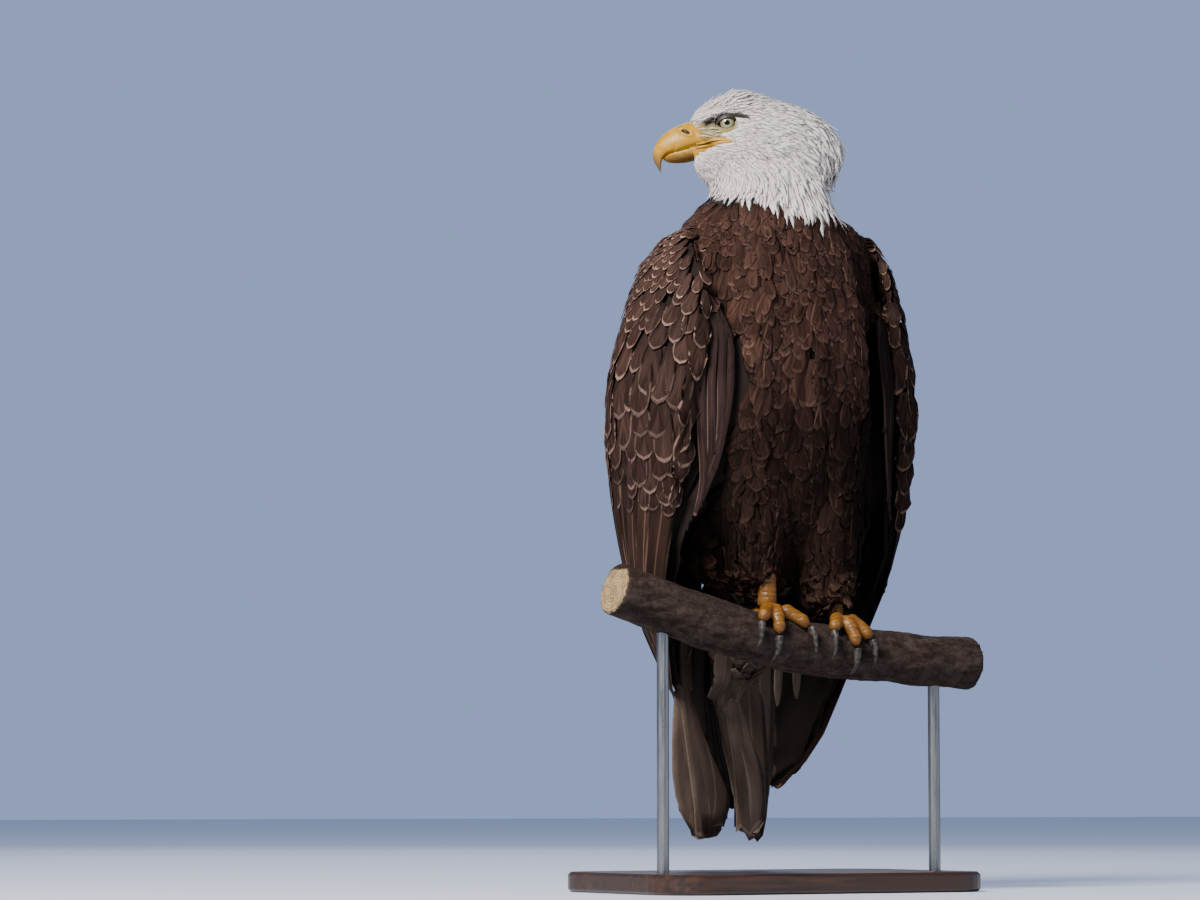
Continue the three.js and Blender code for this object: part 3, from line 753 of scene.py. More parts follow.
def skinUnwrap():
    # an unwrap of the skin's own shape on a coarse copy: gives the map place under any point
    mesh = remeshed(fleshNodes + wingNodes + tailNodes, 9 * mm, 2)
    body = bpy.data.objects.new("unwrapping", mesh)
    bpy.context.collection.objects.link(body)
    bpy.context.view_layer.objects.active = body
    body.select_set(True)
    bpy.ops.object.mode_set(mode="EDIT")
    bpy.ops.mesh.select_all(action="SELECT")
    bpy.ops.uv.smart_project(angle_limit=math.radians(60), island_margin=0.004)
    bpy.ops.object.mode_set(mode="OBJECT")
    places = np.array([d.uv for d in mesh.uv_layers.active.data])
    faceMaps = [places[list(f.loop_indices)] for f in mesh.polygons]
    faceCorners = [np.array([mesh.vertices[i].co for i in f.vertices]) for f in mesh.polygons]
    tree = BVHTree.FromPolygons([tuple(v.co) for v in mesh.vertices],
                                [tuple(f.vertices) for f in mesh.polygons])
    bpy.data.objects.remove(body)

    def mapPlace(points):
        result = []
        for p in points:
            hit, _, index, _ = tree.find_nearest(tuple(p))
            near = 1 / (np.linalg.norm(faceCorners[index] - np.array(hit), axis=1) ** 2 + 1e-9)
            result.append((faceMaps[index] * near[:, None]).sum(0) / near.sum())
        return np.array(result)

    return mapPlace


mapPlace = skinUnwrap()
print("unwrap made")

owners = fleshNodes + wingNodes + tailNodes
owner = nearestNode(owners, outer["centres"])
ownerIs = {name: owner == number for number, name in enumerate(owners)}
centres = outer["centres"]
s, l, h = headPlace(centres)
aboveBorder = centres[:, 2] - whiteBorder(centres)

slim = vaneTemplate(4, [0, 0.35, 0.7, 1])
lance = vaneTemplate(4, [0, 0.25, 0.5, 0.75, 1])
broad = vaneTemplate(8, [0, 0.25, 0.5, 0.72, 0.9, 1])


def flowAt(points):
    # the lie of the coat: back over the head, down the throat, neck and body
    fs, _, fh = headPlace(points)
    down = np.clip(smoothstep(-fh, 8, 48) + smoothstep(-fs, 10, 85), 0, 1)
    down = np.maximum(down, smoothstep(-points[:, 2], -0.745, -0.695))
    back = np.array([0, 0, -0.25]) * smoothstep(-fh, -30, 5)[:, None] - forward
    fall = np.array([0, 0.08, -1.0]) - 0.25 * forward * smoothstep(points[:, 2], 0.69, 0.72)[:, None]
    return back * (1 - down[:, None]) + fall * down[:, None]


def headDistance(points):
    # how far back from the root of the bill
    fs, _, fh = headPlace(points)
    return np.sqrt((fs - 64) ** 2 + (fh - 2) ** 2)


def layCoat(name, settings, wanted, spacing, template, seed, stand=None, shade=None, direction=flowAt):
    # feathers rooted on the wanted faces of the outer surface, each laid along the lie of the coat
    dice = np.random.default_rng(seed)
    roots, gaps = scattered(outer, wanted, spacing, dice, settings.get("tall", 1.0))
    vary = settings.get("vary", 0.15)
    lengths = gaps * settings["length"] * dice.uniform(1 - vary, 1 + vary, len(roots))
    widths = gaps * settings["width"] * dice.uniform(1 - vary, 1 + vary, len(roots))
    flow = unit(direction(roots)) + dice.normal(0, settings.get("stray", 0.06), (len(roots), 3))
    places, normals = walked(outer, roots, flow, lengths, template["rows"], settings.get("bend", 0.5))
    stands = 0.0 if stand is None else stand(roots, dice)
    shades = 0.0 if shade is None else shade(roots)
    mesh = featherMesh(name, template, places, normals, settings["kind"], lengths, widths, mapPlace(roots),
                       dice, 1.0, stands, shades)
    showPiece(mesh, name, [looks[settings["look"]]])
    print(name, len(roots), "feathers", len(roots) * int((template["sizes"] - 2).sum()), "triangles")


coat = {
    "face": {
        "spacing": [[0, 1.6], [14, 1.7], [40, 2.2], [80, 3.2], [130, 4.2]], "length": 6.8, "width": 1.5,
        "look": "white", "stray": 0.12, "vary": 0.35,
        "kind": {"half": [0.7, 1, 0.85, 0.06], "height": [-0.5, -0.2, -0.05, 0.05], "thick": 0.22, "cup": 0.1,
                 "loose": 0.7, "roll": 0.08, "sway": 0.08},
    },
    "lore": {
        "length": 1.7, "width": 0.2, "look": "white", "stray": 0.3, "vary": 0.4,
        "kind": {"half": [0.6, 1, 0.85, 0.06], "height": [1.2, 1.4, 1.6, 1.9], "thick": 0.2, "cup": 0.0,
                 "loose": 0.6, "roll": 0.08, "sway": 0.1},
    },
    "neck": {
        "spacing": [[0, 4.0], [60, 4.2], [110, 4.8], [160, 5.6]], "length": 7.2, "width": 1.45,
        "look": "white", "stray": 0.11, "vary": 0.3,
        "kind": {"half": [0.5, 0.95, 1, 0.66, 0.03], "height": [-1.2, -0.6, -0.2, 0.2, 0.5], "thick": 0.3,
                 "cup": 0.12, "loose": 2.6, "roll": 0.1, "sway": 0.05},
    },
    "body": {
        "spacing": [[0.25, 8], [0.4, 10], [0.5, 10.5], [0.6, 9], [0.69, 6]], "length": 3.8, "width": 1.9,
        "look": "brown", "stray": 0.16, "vary": 0.35, "fan": 1.6,
        "kind": {"half": [0.45, 0.85, 1, 1, 0.9, 0.62], "height": [-1.1, -0.6, -0.3, -0.1, 0, 0.05],
                 "thick": 0.25, "cup": 0.06, "loose": 0.8, "roll": 0.05, "sway": 0.07, "split": 0.08,
                 "round": 0.7},
    },
    "thighs": {
        "spacing": [[0.25, 8], [0.45, 10]], "length": 4.2, "width": 1.6, "bend": 0.3,
        "look": "thigh", "stray": 0.18, "vary": 0.3,
        "kind": {"half": [0.4, 0.8, 0.95, 1, 1, 0.9], "height": [-2, -1.0, -0.3, 0.3, 0.9, 1.2],
                 "thick": 0.35, "cup": 0.08, "loose": 3.0, "roll": 0.08, "sway": 0.06, "split": 0.28,
                 "round": 0.2},
    },
    "coverts": {
        "spacing": [[0.36, 12], [0.44, 14], [0.52, 19], [0.575, 13], [0.61, 9], [0.68, 6.5]],
        "length": 3.0, "width": 1.4, "look": "covert", "stray": 0.04, "vary": 0.16,
        "tall": 1.25, "bend": 0.9,
        "kind": {"half": [0.5, 0.88, 1, 1, 0.96, 0.82], "height": [-1.8, -0.9, -0.2, 0.2, 0.5, 0.6],
                 "thick": 0.4, "cup": 0.09, "loose": 0.7, "roll": 0.04, "sway": 0.02, "split": 0.02,
                 "round": 0.9},
    },
}


# the feathers round the tail's root share the tail's grey-brown painted shade
coat["rump"] = {**coat["body"], "look": "tail", "length": 3.4}


def spacingOf(key, at):
    return profile(coat[key]["spacing"])(at) * mm


tufts = {"nape": 10, "crown": 5, "chin": 2}  # how far they stand out, in millimetres


def ruffled(points, dice):
    # tufts that stand out at the nape and a little over the crown
    fs, _, fh = headPlace(points)
    nape = smoothstep(-fs, 42, 78) * smoothstep(fh, -45, -20)
    crown = smoothstep(fh, 22, 34) * smoothstep(fs, 0, 20)
    chin = smoothstep(-fh, 22, 36) * smoothstep(fs, 25, 45)
    tall = nape * tufts["nape"] + crown * tufts["crown"] + chin * tufts["chin"]
    return tall * dice.random(len(points)) ** 2


bare = bareFace(s, l, h) * (centres[:, 2] > skin["faceFrom"])
distance = headDistance(centres)
white = (ownerIs["head"] | ownerIs["neck"] | ownerIs["trunk"]) & (aboveBorder > 0.012)
faceArea = white & (bare < 0.4) & ~((s > 56) & (h < 17) & (h > chinLine(s) + 1)) & (distance < 105)
neckArea = white & (distance >= 100)
backHalf = distance > 52
layCoat("coat_face", coat["face"], faceArea & ~backHalf, spacingOf("face", distance), slim, 11, stand=ruffled)
layCoat("coat_crown_and_cheeks", coat["face"], faceArea & backHalf, spacingOf("face", distance), slim, 13,
        stand=ruffled)
layCoat("coat_neck", coat["neck"], neckArea, spacingOf("neck", distance), lance, 12, stand=ruffled)


lore = (bare > 0.5) & (s > 42) & (s < 60) & (h > -1) & (h < 8)
layCoat("coat_lore", coat["lore"], lore, 4.2 * mm, slim, 15)


def paintedBodyShade(points):
    # painted shade: darker plumage over the belly, towards the bird's left side and beside its right wing
    x, _, z = points.T
    low = smoothstep(-z, -0.58, -0.46) * 0.75
    left = smoothstep(x, 0.02, 0.09) * 0.5
    beside = smoothstep(-x, 0.07, 0.1) * smoothstep(-z, -0.54, -0.48)
    return np.clip(low + left + beside, 0, 1)


def bodyLie(points):
    # fanned out a little to both sides
    return flowAt(points) + points * (coat["body"]["fan"], 0, 0)


besideWing = closeTo(wingNodes, centres, (ownerIs["trunk"] | ownerIs["rump"]) & (centres[:, 2] < 0.6)
                     & (centres[:, 1] < 0.06), 0.014)
brown = (ownerIs["trunk"] | ownerIs["neck"] | ownerIs["rump"]) & (aboveBorder < -0.001) & ~besideWing
belowTail = ownerIs["rump"] & (centres[:, 2] < 0.305)
thighs = ownerIs["thigh_right"] | ownerIs["thigh_left"]
bodyGap = spacingOf("body", centres[:, 2])
front = centres[:, 1] < 0.075
layCoat("coat_breast", coat["body"], brown & front & ~belowTail, bodyGap, broad, 21, shade=paintedBodyShade,
        direction=bodyLie)
layCoat("coat_back", coat["body"], brown & ~front & ~belowTail, bodyGap, broad, 23)
layCoat("coat_rump", coat["rump"], belowTail & (outer["normals"][:, 1] > 0), 12 * mm, broad, 24,
        direction=lambda p: np.tile([0, 0.05, -1.0], (len(p), 1)))
layCoat("coat_thighs", coat["thighs"], thighs, spacingOf("thighs", centres[:, 2]), broad, 22,
        shade=lambda p: 0.3)

axisY = profile([[0.06, 0.128], [0.15, 0.11], [0.21, 0.092], [0.29, 0.072], [0.45, 0.074], [0.56, 0.07],
                 [0.64, 0.064], [0.712, 0.057]])


def outwardAt(side, degrees):
    a = math.radians(degrees) * side
    return np.array([math.sin(a), -math.cos(a), 0])


scan = {"angles": np.arange(8, 184, 2.0), "step": 0.008, "margin": 0.003, "from": 0.4}


def castIn(tree, side, degrees, z):
    # how far from the body's axis a level ray first meets the layer
    outward = Vector(outwardAt(side, degrees))
    axis = Vector((0, float(axisY(z)), z))
    hit = tree.ray_cast(axis + outward * scan["from"], -outward, scan["from"])[0]
    return math.nan if hit is None else (hit - axis).length


def layerOf(names, side):
    # a wing layer as heights, the angles of its front and back edge, and its reach from the axis
    tree = treeOf(*names)
    low = min(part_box(n)[0].z for n in names)
    high = max(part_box(n)[1].z for n in names)
    angles = scan["angles"]
    heights, fronts, backs, reaches = [], [], [], []
    for z in np.arange(low + scan["margin"], high - scan["margin"], scan["step"]):
        reach = np.array([castIn(tree, side, a, z) for a in angles])
        met = np.flatnonzero(~np.isnan(reach))
        if len(met):
            heights.append(z)
            fronts.append(angles[met[0]])
            backs.append(angles[met[-1]])
            reaches.append(np.interp(angles, angles[met], reach[met]))
    heights, reaches = np.array(heights), np.array(reaches)

    def at(degrees, z):
        # the reach at any angle and height, level beyond the layer's ends
        place = np.interp(z, heights, np.arange(len(heights)))
        i = min(int(place), len(heights) - 2)
        below, above = (np.interp(degrees, angles, reaches[j]) for j in (i, i + 1))
        return below * (1 - (place - i)) + above * (place - i)

    return {"low": low, "high": high, "front": lambda z: np.interp(z, heights, fronts),
            "back": lambda z: np.interp(z, heights, backs), "at": at}


def wingPath(side, layer, start, end, share, gather=0.0, inset=0.0, degreesAt=None):
    # down the wing, at one share of the way from the layer's front edge to its back edge
    def place(degrees, z):
        reach = layer["at"](degrees, z) - inset
        return np.array([0, float(axisY(z)), z]) + outwardAt(side, degrees) * reach

    line, ups = [], []
    for t in quill["rows"]:
        z = min(max(start + (end - start) * t, layer["low"] + 0.001), layer["high"] - 0.002)
        front, back = layer["front"](z), layer["back"](z)
        here = share + (1 - share) * gather * t ** 2
        degrees = degreesAt(z) if degreesAt else front + 1.5 + here * (back - front - 3)
        here = place(degrees, z)
        across = place(degrees + 3, z) - place(degrees - 3, z)
        above = place(degrees, z + 0.01) - place(degrees, z - 0.01)
        up = np.cross(across, above) * side
        line.append(here)
        ups.append(up / max(np.linalg.norm(up), 1e-9))
    return line, ups


def smoothed(places, normals, times=2):
    places, normals = np.array(places), np.array(normals)
    for _ in range(times):
        places[:, 1:-1] = (places[:, :-2] + 2 * places[:, 1:-1] + places[:, 2:]) / 4
        normals[:, 1:-1] = unit(normals[:, :-2] + 2 * normals[:, 1:-1] + normals[:, 2:])
    return places, normals


quill = vaneTemplate(8, [i / 13 for i in range(14)])
quillKind = {
    "half": [0.5, 0.8, 0.95, 1, 1, 1, 1, 1, 1, 0.98, 0.94, 0.86, 0.7, 0.4],
    "height": [-2.5, -1.5, -0.8, -0.3, 0, 0.2, 0.4, 0.6, 0.8, 1, 1.1, 1.2, 1.3, 1.3], "thick": 0.9,
    "cup": 0.1, "loose": 1.0, "roll": 0.05, "sway": 0.004, "split": 0.01, "round": 0.5,
}
tailKind = {**quillKind, "height": [0] * 14}


def layQuills(name, look, places, normals, width, dice, kind=quillKind, rounds=2, lift=1.0, shade=0.0):
    # long feathers along given lines
    places, normals = smoothed(places, normals, rounds)
    lengths = np.linalg.norm(np.diff(places, axis=1), axis=2).sum(1)
    mesh = featherMesh(name, quill, places, normals, kind, lengths, np.full(len(places), width * mm),
                       mapPlace(places[:, 0]), dice, lift, 0.0, shade)
    showPiece(mesh, name, [looks[look]])


wing = {
    "secondary": {"count": 15, "width": 25, "top": 0.47, "topFall": 0.02, "low": 4 * mm, "steps": 0.05,
                  "lift": 0.4},
    "primary": {"count": 9, "width": 19, "top": 0.5, "topFall": 0.16, "low": 2 * mm, "steps": 0.05,
                "gather": {"right": 0.75, "left": 0.3}},
    "panel": {"count": 8, "width": 9.5, "tops": [0.61, 0.585], "ends": [0.4, 0.37], "turns": [31, 58],
              "proud": 1 * mm, "lift": 0.8},
    "leftShade": 0.6,
}


def makeWing(side):
    sign = sides[side]
    dice = np.random.default_rng(31 + sign)
    outerLayer = layerOf([f"wing_{side}_coverts", f"wing_{side}_secondaries"], sign)
    innerLayer = layerOf([f"wing_{side}_primaries"], sign)

    def lay(part, look, paths, **more):
        places, normals = zip(*paths)
        name = f"wing_{side}_{part}_feathers"
        layQuills(name, look, places, normals, wing[part]["width"], dice, **more)

    # painted shade: the left wing's secondaries and front panel are darkened
    shaded = wing["leftShade"] if side == "left" else 0.0

    # secondaries, with their tips stepped along the lower edge
    settings = wing["secondary"]
    shares = np.linspace(0.02, 0.98, settings["count"])
    paths = []
    for share in shares:
        end = outerLayer["low"] + settings["low"] + settings["steps"] * share ** 1.5
        paths.append(wingPath(sign, outerLayer, settings["top"] - settings["topFall"] * share, end, share))
    lay("secondary", "flight", paths, lift=1 + settings["lift"] * shares, shade=shaded)

    # primaries below and in front of them
    settings = wing["primary"]
    paths = []
    for share in np.linspace(0.05, 0.8, settings["count"]):
        end = innerLayer["low"] + settings["low"] + settings["steps"] * (1 - share) ** 2
        paths.append(wingPath(sign, innerLayer, settings["top"] - settings["topFall"] * share, end, share,
                              settings["gather"][side]))
    lay("primary", "dark", paths)

    # the front panel: long narrow feathers that run down the leading edge
    settings = wing["panel"]
    paths = []
    for share in np.linspace(0, 1, settings["count"]):
        start, end, steady = (np.interp(share, [0, 1], settings[key]) for key in ("tops", "ends", "turns"))
        paths.append(wingPath(sign, innerLayer, start, end, 0, 0, -settings["proud"],
                              lambda z: max(steady, innerLayer["front"](z) + 1)))
    lay("panel", "panel", paths, lift=settings["lift"], shade=shaded)
    print("wing", side)


for side in sides:
    makeWing(side)


def covertLie(points):
    # down the wing, and back from its front edge near the shoulder
    sign = np.sign(points[:, 0])[:, None]
    around = np.stack([-(points[:, 1] - 0.07), points[:, 0], np.zeros(len(points))], 1)
    backward = unit(around * sign)
    backward[:, 1] = np.abs(backward[:, 1])
    return np.array([[0, 0, -1.0]]) + backward * 0.45 * smoothstep(points[:, 2], 0.5, 0.62)[:, None]


def wingShade(points):
    # paler at the shoulder, darker towards the quills, and painted shade over the whole left wing
    x, _, z = points.T
    return np.interp(z, [0.45, 0.52, 0.58, 0.64], [0.25, 0.15, 0, -0.4]) + (x > 0) * 0.55


for side in sides:
    mine = np.any([ownerIs[name] for name in wingNodes if side in name], axis=0)
    lowest = 0.4 + np.abs(centres[:, 1] - 0.02) * 0.25
    upper = mine & (centres[:, 2] > lowest) & (aboveBorder < 0.01)
    frontFace = closeTo([f"wing_{side}_primaries"], centres, upper & (centres[:, 2] < 0.605), 0.007)
    layCoat(f"coat_{side}_coverts", coat["coverts"], upper & ~frontFace, spacingOf("coverts", centres[:, 2]),
            broad, 41, direction=covertLie, shade=wingShade)


def frontAt(tree, x, z):
    # where a level ray from the front first meets the solids
    hit = tree.ray_cast(Vector((x, -0.2, z)), Vector((0, 1, 0)))[0]
    return None if hit is None else hit.y


tail = {
    "count": 4, "width": 38, "spread": 0.01, "uneven": 0.004, "step": 0.8 * mm, "inset": 1 * mm,
    "topMargin": 0.004, "scan": (0.002, 0.01),
    "kind": {**tailKind, "loose": 0.3, "split": 0.05, "round": 0.3,
             "half": [0.6, 0.64, 0.7, 0.76, 0.82, 0.88, 0.93, 0.97, 1, 1.02, 1.05, 1.05, 1.0, 0.9]},
}


def makeTail(side):
    low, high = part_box(f"tail_{side}")
    tree = treeOf(f"tail_{side}")
    rows = []
    across, down = tail["scan"]
    for z in np.arange(low.z + 0.005, high.z - tail["topMargin"], down):
        met = [(x, frontAt(tree, x, z)) for x in np.arange(low.x, high.x, across)]
        met = [pair for pair in met if pair[1] is not None]
        if met:
            rows.append((z, np.array(met)))
    heights = np.array([z for z, _ in rows])
    lefts, rights = (np.array([met[end, 0] for _, met in rows]) for end in (0, -1))
    dice = np.random.default_rng(51 + sides[side])
    places = []
    for i in range(tail["count"]):
        share = i / (tail["count"] - 1)
        end = low.z - 0.001 + tail["spread"] * abs(share - 0.5) * 2 + dice.uniform(0, tail["uneven"])
        line = []
        for t in quill["rows"]:
            z = high.z - tail["topMargin"] + (end - high.z) * t
            left, right = np.interp(z, heights, lefts), np.interp(z, heights, rights)
            inset = min(tail["width"] * mm * (0.3 + 0.2 * t), (right - left) / 2)
            x = (left + inset) * (1 - share) + (right - inset) * share
            met = rows[int(np.argmin(np.abs(heights - z)))][1]
            y = np.interp(x, met[:, 0], met[:, 1]) - tail["inset"] + tail["step"] * (i - 1.5) * sides[side]
            line.append((x, y, z))
        places.append(line)
    layQuills(f"tail_{side}_feathers", "tail", places, np.tile([0, -1, 0], (len(places), len(line), 1)),
              tail["width"], dice, tail["kind"], 3)


for side in sides:
    makeTail(side)

# The right wing's tip hangs between the halves of the tail: heights with its left and right edge.
wingTip = {
    "left": profile([[88, 1], [127, -23], [145, -32], [187, -43], [259, -52], [300, -58]]),
    "right": profile([[88, 2], [127, -10], [166, -18], [200, -33], [300, -47]]),
    "fronts": profile([[88, 133], [180, 130], [230, 120], [300, 100]]),
    "tips": [150, 128, 108, 90], "top": 300, "width": 15, "step": 0.8,
    "kind": {**tailKind, "loose": 0.2,
             "half": [0.8, 0.9, 1, 1, 1, 1, 1, 0.95, 0.9, 0.8, 0.7, 0.55, 0.4, 0.15]},
}


def makeWingTip():
    places = []
    for i, tip in enumerate(wingTip["tips"]):
        for t in quill["rows"]:
            z = wingTip["top"] + (tip - wingTip["top"]) * t
            left, right, front = (float(wingTip[key](z)) for key in ("left", "right", "fronts"))
            places.append((left + (right - left) * (0.2 + 0.2 * i), front - wingTip["step"] * (3 - i), z))
    places = np.reshape(places, (len(wingTip["tips"]), -1, 3)) * mm
    layQuills("wing_right_tip_feathers", "dark", places, np.broadcast_to([-0.3, -0.95, 0], places.shape),
              wingTip["width"], np.random.default_rng(57), wingTip["kind"], 0)


makeWingTip()
print("tail")

underTail = {
    "across": [-0.04, -0.024, -0.006, 0.012, 0.028], "tips": [0.2, 0.185, 0.178, 0.188, 0.205], "top": 0.29,
    "width": 25, "slim": [(0.016, 0.262, 0.185), (0.038, 0.27, 0.193)], "y": 0.062, "slimWidth": 11,
    "proud": 0.002,
    "kind": {**tailKind, "split": 0.06},
}


def makeUnderTail():
    # broad coverts over the root of the tail, and two slim feathers that hang in front of them
    dice = np.random.default_rng(61)
    tree = treeOf("rump", "tail_right", "tail_left")

    def lay(name, places, width):
        normals = np.tile([0, -1.0, 0], (len(places), len(quill["rows"]), 1))
        layQuills(name, "tail", places, normals, width, dice, underTail["kind"], 4)

    coverts = []
    for x, tip in zip(underTail["across"], underTail["tips"]):
        line, front = [], None
        for t in quill["rows"]:
            z = underTail["top"] + (tip - underTail["top"]) * t
            met = frontAt(tree, x, z)
            front = (front if met is None else met) - underTail["proud"] - 0.001 * t
            line.append((x, front, z))
        coverts.append(line)
    lay("under_tail_coverts", coverts, underTail["width"])
    slim = [[(x + 0.004 * t, underTail["y"] + 0.012 * t, top + (tip - top) * t) for t in quill["rows"]]
            for x, top, tip in underTail["slim"]]
    lay("under_tail_slim_feathers", slim, underTail["slimWidth"])


makeUnderTail()


def billMaterial():
    look, made, shader = plainMaterial("bill", 0.42, {"Coat Weight": 0.08, "Coat Roughness": 0.3,
                                                      "Specular IOR Level": 0.3})
    toTip = made.read("toTip")
    streak = made.noise(made.stretched((0.35, 1, 1), math.radians(30)), 120.0, 4.0, 0.6)
    mottle = made.noise(made.place(), 230.0, 4.0)
    dull = made.times(made.steps(toTip, 0.5, 0.12), made.steps(mottle, 0.38, 0.6))
    base = made.blotched(streak, 0.35, 0.65, "B27A10", "C4931F")
    # the nostril's pit is painted near black: painted shade inside the opening
    for share, tone in ((made.times(dull, 0.65), "6F6535"), (made.times(made.read("cere"), 0.6), "BC8B10"),
                        (made.times(made.read("low"), 0.85), "4A2C0C"),
                        (made.steps(toTip, 0.62, 0.9, 0, 0.8), "54402F"), (made.read("nostril"), "1A1109")):
        base = made.mix(share, base, colour(tone))
    made.finish(shader, base, made.plus(streak, mottle), 0.18, 0.0006)
    return look


bill = {
    "culmen": [[27, -1], [46, 0], [57, 8], [66, 17.5], [76, 16.6], [88, 11.3], [98, 3], [104.5, -7],
               [106, -19], [98, -34]],
    "tomium": [[27, -3], [44, -4.6], [60, -7], [72, -10], [82, -12.5], [91, -15], [96.5, -20],
               [98, -27], [98, -34]],
    "gonys": [[27, -5], [42, -9], [56, -17], [66, -21.5], [78, -23.6], [90, -23], [95, -20.5]],
    "lowerRim": [[27, -4.6], [44, -4.8], [60, -6], [72, -8.4], [82, -10.8], [90, -13.6], [96, -18]],
    "width": [[0, 19], [0.25, 17], [0.42, 14], [0.6, 11.5], [0.8, 7], [1, 0.8]],
    "lowerWidth": [[0, 17], [0.4, 13.2], [0.7, 8.8], [0.9, 5.4], [1, 2.6]],
    "cereEnd": 80, "cereLean": 0.35, "cereSwell": 0.9, "blunt": 0.08,
    "nostril": {"s": 73.5, "h": 7.0, "long": 5.2, "high": 2.2, "tilt": 0.42, "deep": 3.2, "rim": 1.3},
}


def rounded(distance, length):
    return math.sqrt(1 - (1 - min(max(distance / length, 0), 1)) ** 2)


def nostrilOff(s, h):
    # distance from the middle of the nostril, 1 at its edge
    hole = bill["nostril"]
    a, b = s - hole["s"], h - hole["h"]
    c, d = math.cos(hole["tilt"]), math.sin(hole["tilt"])
    return np.hypot((a * c + b * d) / hole["long"], (b * c - a * d) / hole["high"])


def cereShare(s, h):
    return smoothstep(bill["cereEnd"] - bill["cereLean"] * h - s, -0.8, 0.8)


def billForm(upper, lower, width, carved):
    top, bottom, wide = curve(bill[upper]), curve(bill[lower]), profile(bill[width])
    hole = bill["nostril"]

    def place(angle, t):
        down = 0.5 - 0.5 * math.cos(angle)
        p = top(t) + (bottom(t) - top(t)) * down
        full = (1 - (1 - down) ** 2.2) ** 0.55 * (1 - down ** 9) ** 0.5
        l = 0 if t >= 1 else math.copysign(float(wide(t)) * rounded(t, bill["blunt"]) * full, math.sin(angle))
        if carved and 0 < t < 1:
            swell = float(cereShare(p[0], p[1])) * bill["cereSwell"]
            off = float(nostrilOff(p[0], p[1]))
            rim = math.exp(-((off - 1.45) / 0.4) ** 2) * hole["rim"]
            pit = (1 - float(smoothstep(off, 0.5, 1.15))) * hole["deep"]
            if abs(l) > 2:
                l += math.copysign(rim - pit, l)
            grow = 1 + swell / max(np.linalg.norm(top(t) - bottom(t)) / 2, 4)
            middle = (top(t) + bottom(t)) / 2
            p = middle + (p - middle) * grow
            l *= 1 + swell / 14
        return inHead(p[0], l, p[1])

    return shaped(80 if carved else 40, 150 if carved else 70, place)


def addBillShares(mesh, carved):
    points = pointsOf(mesh)
    fs, fl, fh = headPlace(points)
    toTip = np.clip((fs - 60) / 45 * 0.6 + np.clip(-fh - 4, 0, 30) / 30 * 0.45 * (fs > 88), 0, 1)
    low = smoothstep(-fh - (fs - 60) * 0.12, 9, 19) * (fs < 96)
    # the nostril's pit, painted near black as shade
    hole = (1 - smoothstep(nostrilOff(fs, fh), 0.75, 1.05)) * (np.abs(fl) > 2) * carved
    store(mesh, toTip=toTip, low=low, nostril=hole, cere=cereShare(fs, fh) * carved)


billLook = billMaterial()
for name, shape, standsFor in (
    ("bill_upper", ("culmen", "tomium", "width", True), ["beak_upper", "cere"]),
    ("bill_lower", ("gonys", "lowerRim", "lowerWidth", False), ["beak_lower"]),
):
    mesh = meshOf(billForm(*shape), name)
    addBillShares(mesh, shape[3])
    showPiece(mesh, name, [billLook], standsFor)


def cheekAt(s, sign, h, missing):
    # how far out the side of the head lies
    hit = outer["tree"].ray_cast(Vector(inHead(s, sign * 60, h)), Vector(-leftward * sign))[0]
    return missing if hit is None else abs(float(headPlace(np.array(hit))[1]))


def evened(reach, times):
    reach = np.array(reach)
    for _ in range(times):
        reach[1:-1] = (reach[:-2] + 2 * reach[1:-1] + reach[2:]) / 4
    return reach


def layRoll(name, look, sign, line, reach, roll):
    # a rounded roll of skin on the side of the head, along a line of places and heights
    shares = np.linspace(0, 1, len(reach))

    def place(angle, t):
        s, h = line(t)
        radius = float(roll["radius"](t)) * rounded(t, roll["end"]) * rounded(1 - t, roll["end"])
        out = np.interp(t, shares, reach) + roll["proud"] + roll["flat"] * radius * math.cos(angle)
        return inHead(s, sign * out, h + radius * math.sin(angle))

    showPiece(meshOf(shaped(14, roll["steps"], place), name), name, [look])


gape = {
    "from": 25, "to": 63, "radius": profile([[0, 0.5], [0.15, 1.1], [0.6, 1.3], [0.85, 1.1], [1, 0.4]]),
    "drops": [1.8, -1.7], "end": 0.06, "proud": -0.2, "flat": 0.8, "steps": 40,
}


def mottledMaterial(name, roughness, scale, first, second, relief, settings=None):
    look, made, shader = plainMaterial(name, roughness, settings)
    mottle = made.noise(made.place(), scale)
    made.finish(shader, made.blotched(mottle, 0.35, 0.65, first, second), mottle, relief, 0.0004)
    return look


def makeGape():
    # the yellow lips of the mouth's corner, drawn along the cheek below the eye
    look = mottledMaterial("gape_skin", 0.42, 300.0, "BC8118", "CE9A30", 0.3)
    for side, sign in sides.items():
        for number, drop in enumerate(gape["drops"]):
            places = gape["from"] + (gape["to"] - gape["from"]) * np.linspace(0, 1, 26)
            heights = mouthLine(places) + drop * (1 - (1 - np.linspace(0, 1, 26)) ** 4)
            reach = [max(float(drawnIn(s, h, cheekAt(s, sign, h, 16))), float(billSide(s)) - 0.6)
                     for s, h in zip(places, heights)]

            def line(t):
                return (np.interp(t, np.linspace(0, 1, 26), known) for known in (places, heights))

            layRoll(f"gape_{side}_{number + 1}", look, sign, line, evened(reach, 6), gape)


makeGape()

eye = {
    "s": 31, "h": 13, "l": 17.5, "radius": 14, "iris": 7.0, "pupil": 0.4, "gaze": (0.04, 0.995, -0.01),
    "bulge": 0.8, "bulgeReach": 1.15,
}
lids = {
    "front": 8.9, "rear": 8.6, "up": 3.6, "down": 5.0, "tilt": -0.16, "edge": 54, "edgeRise": 13,
    "thick": 1.0, "browThick": 1.7, "clear": 0.25, "square": 1.7,
}


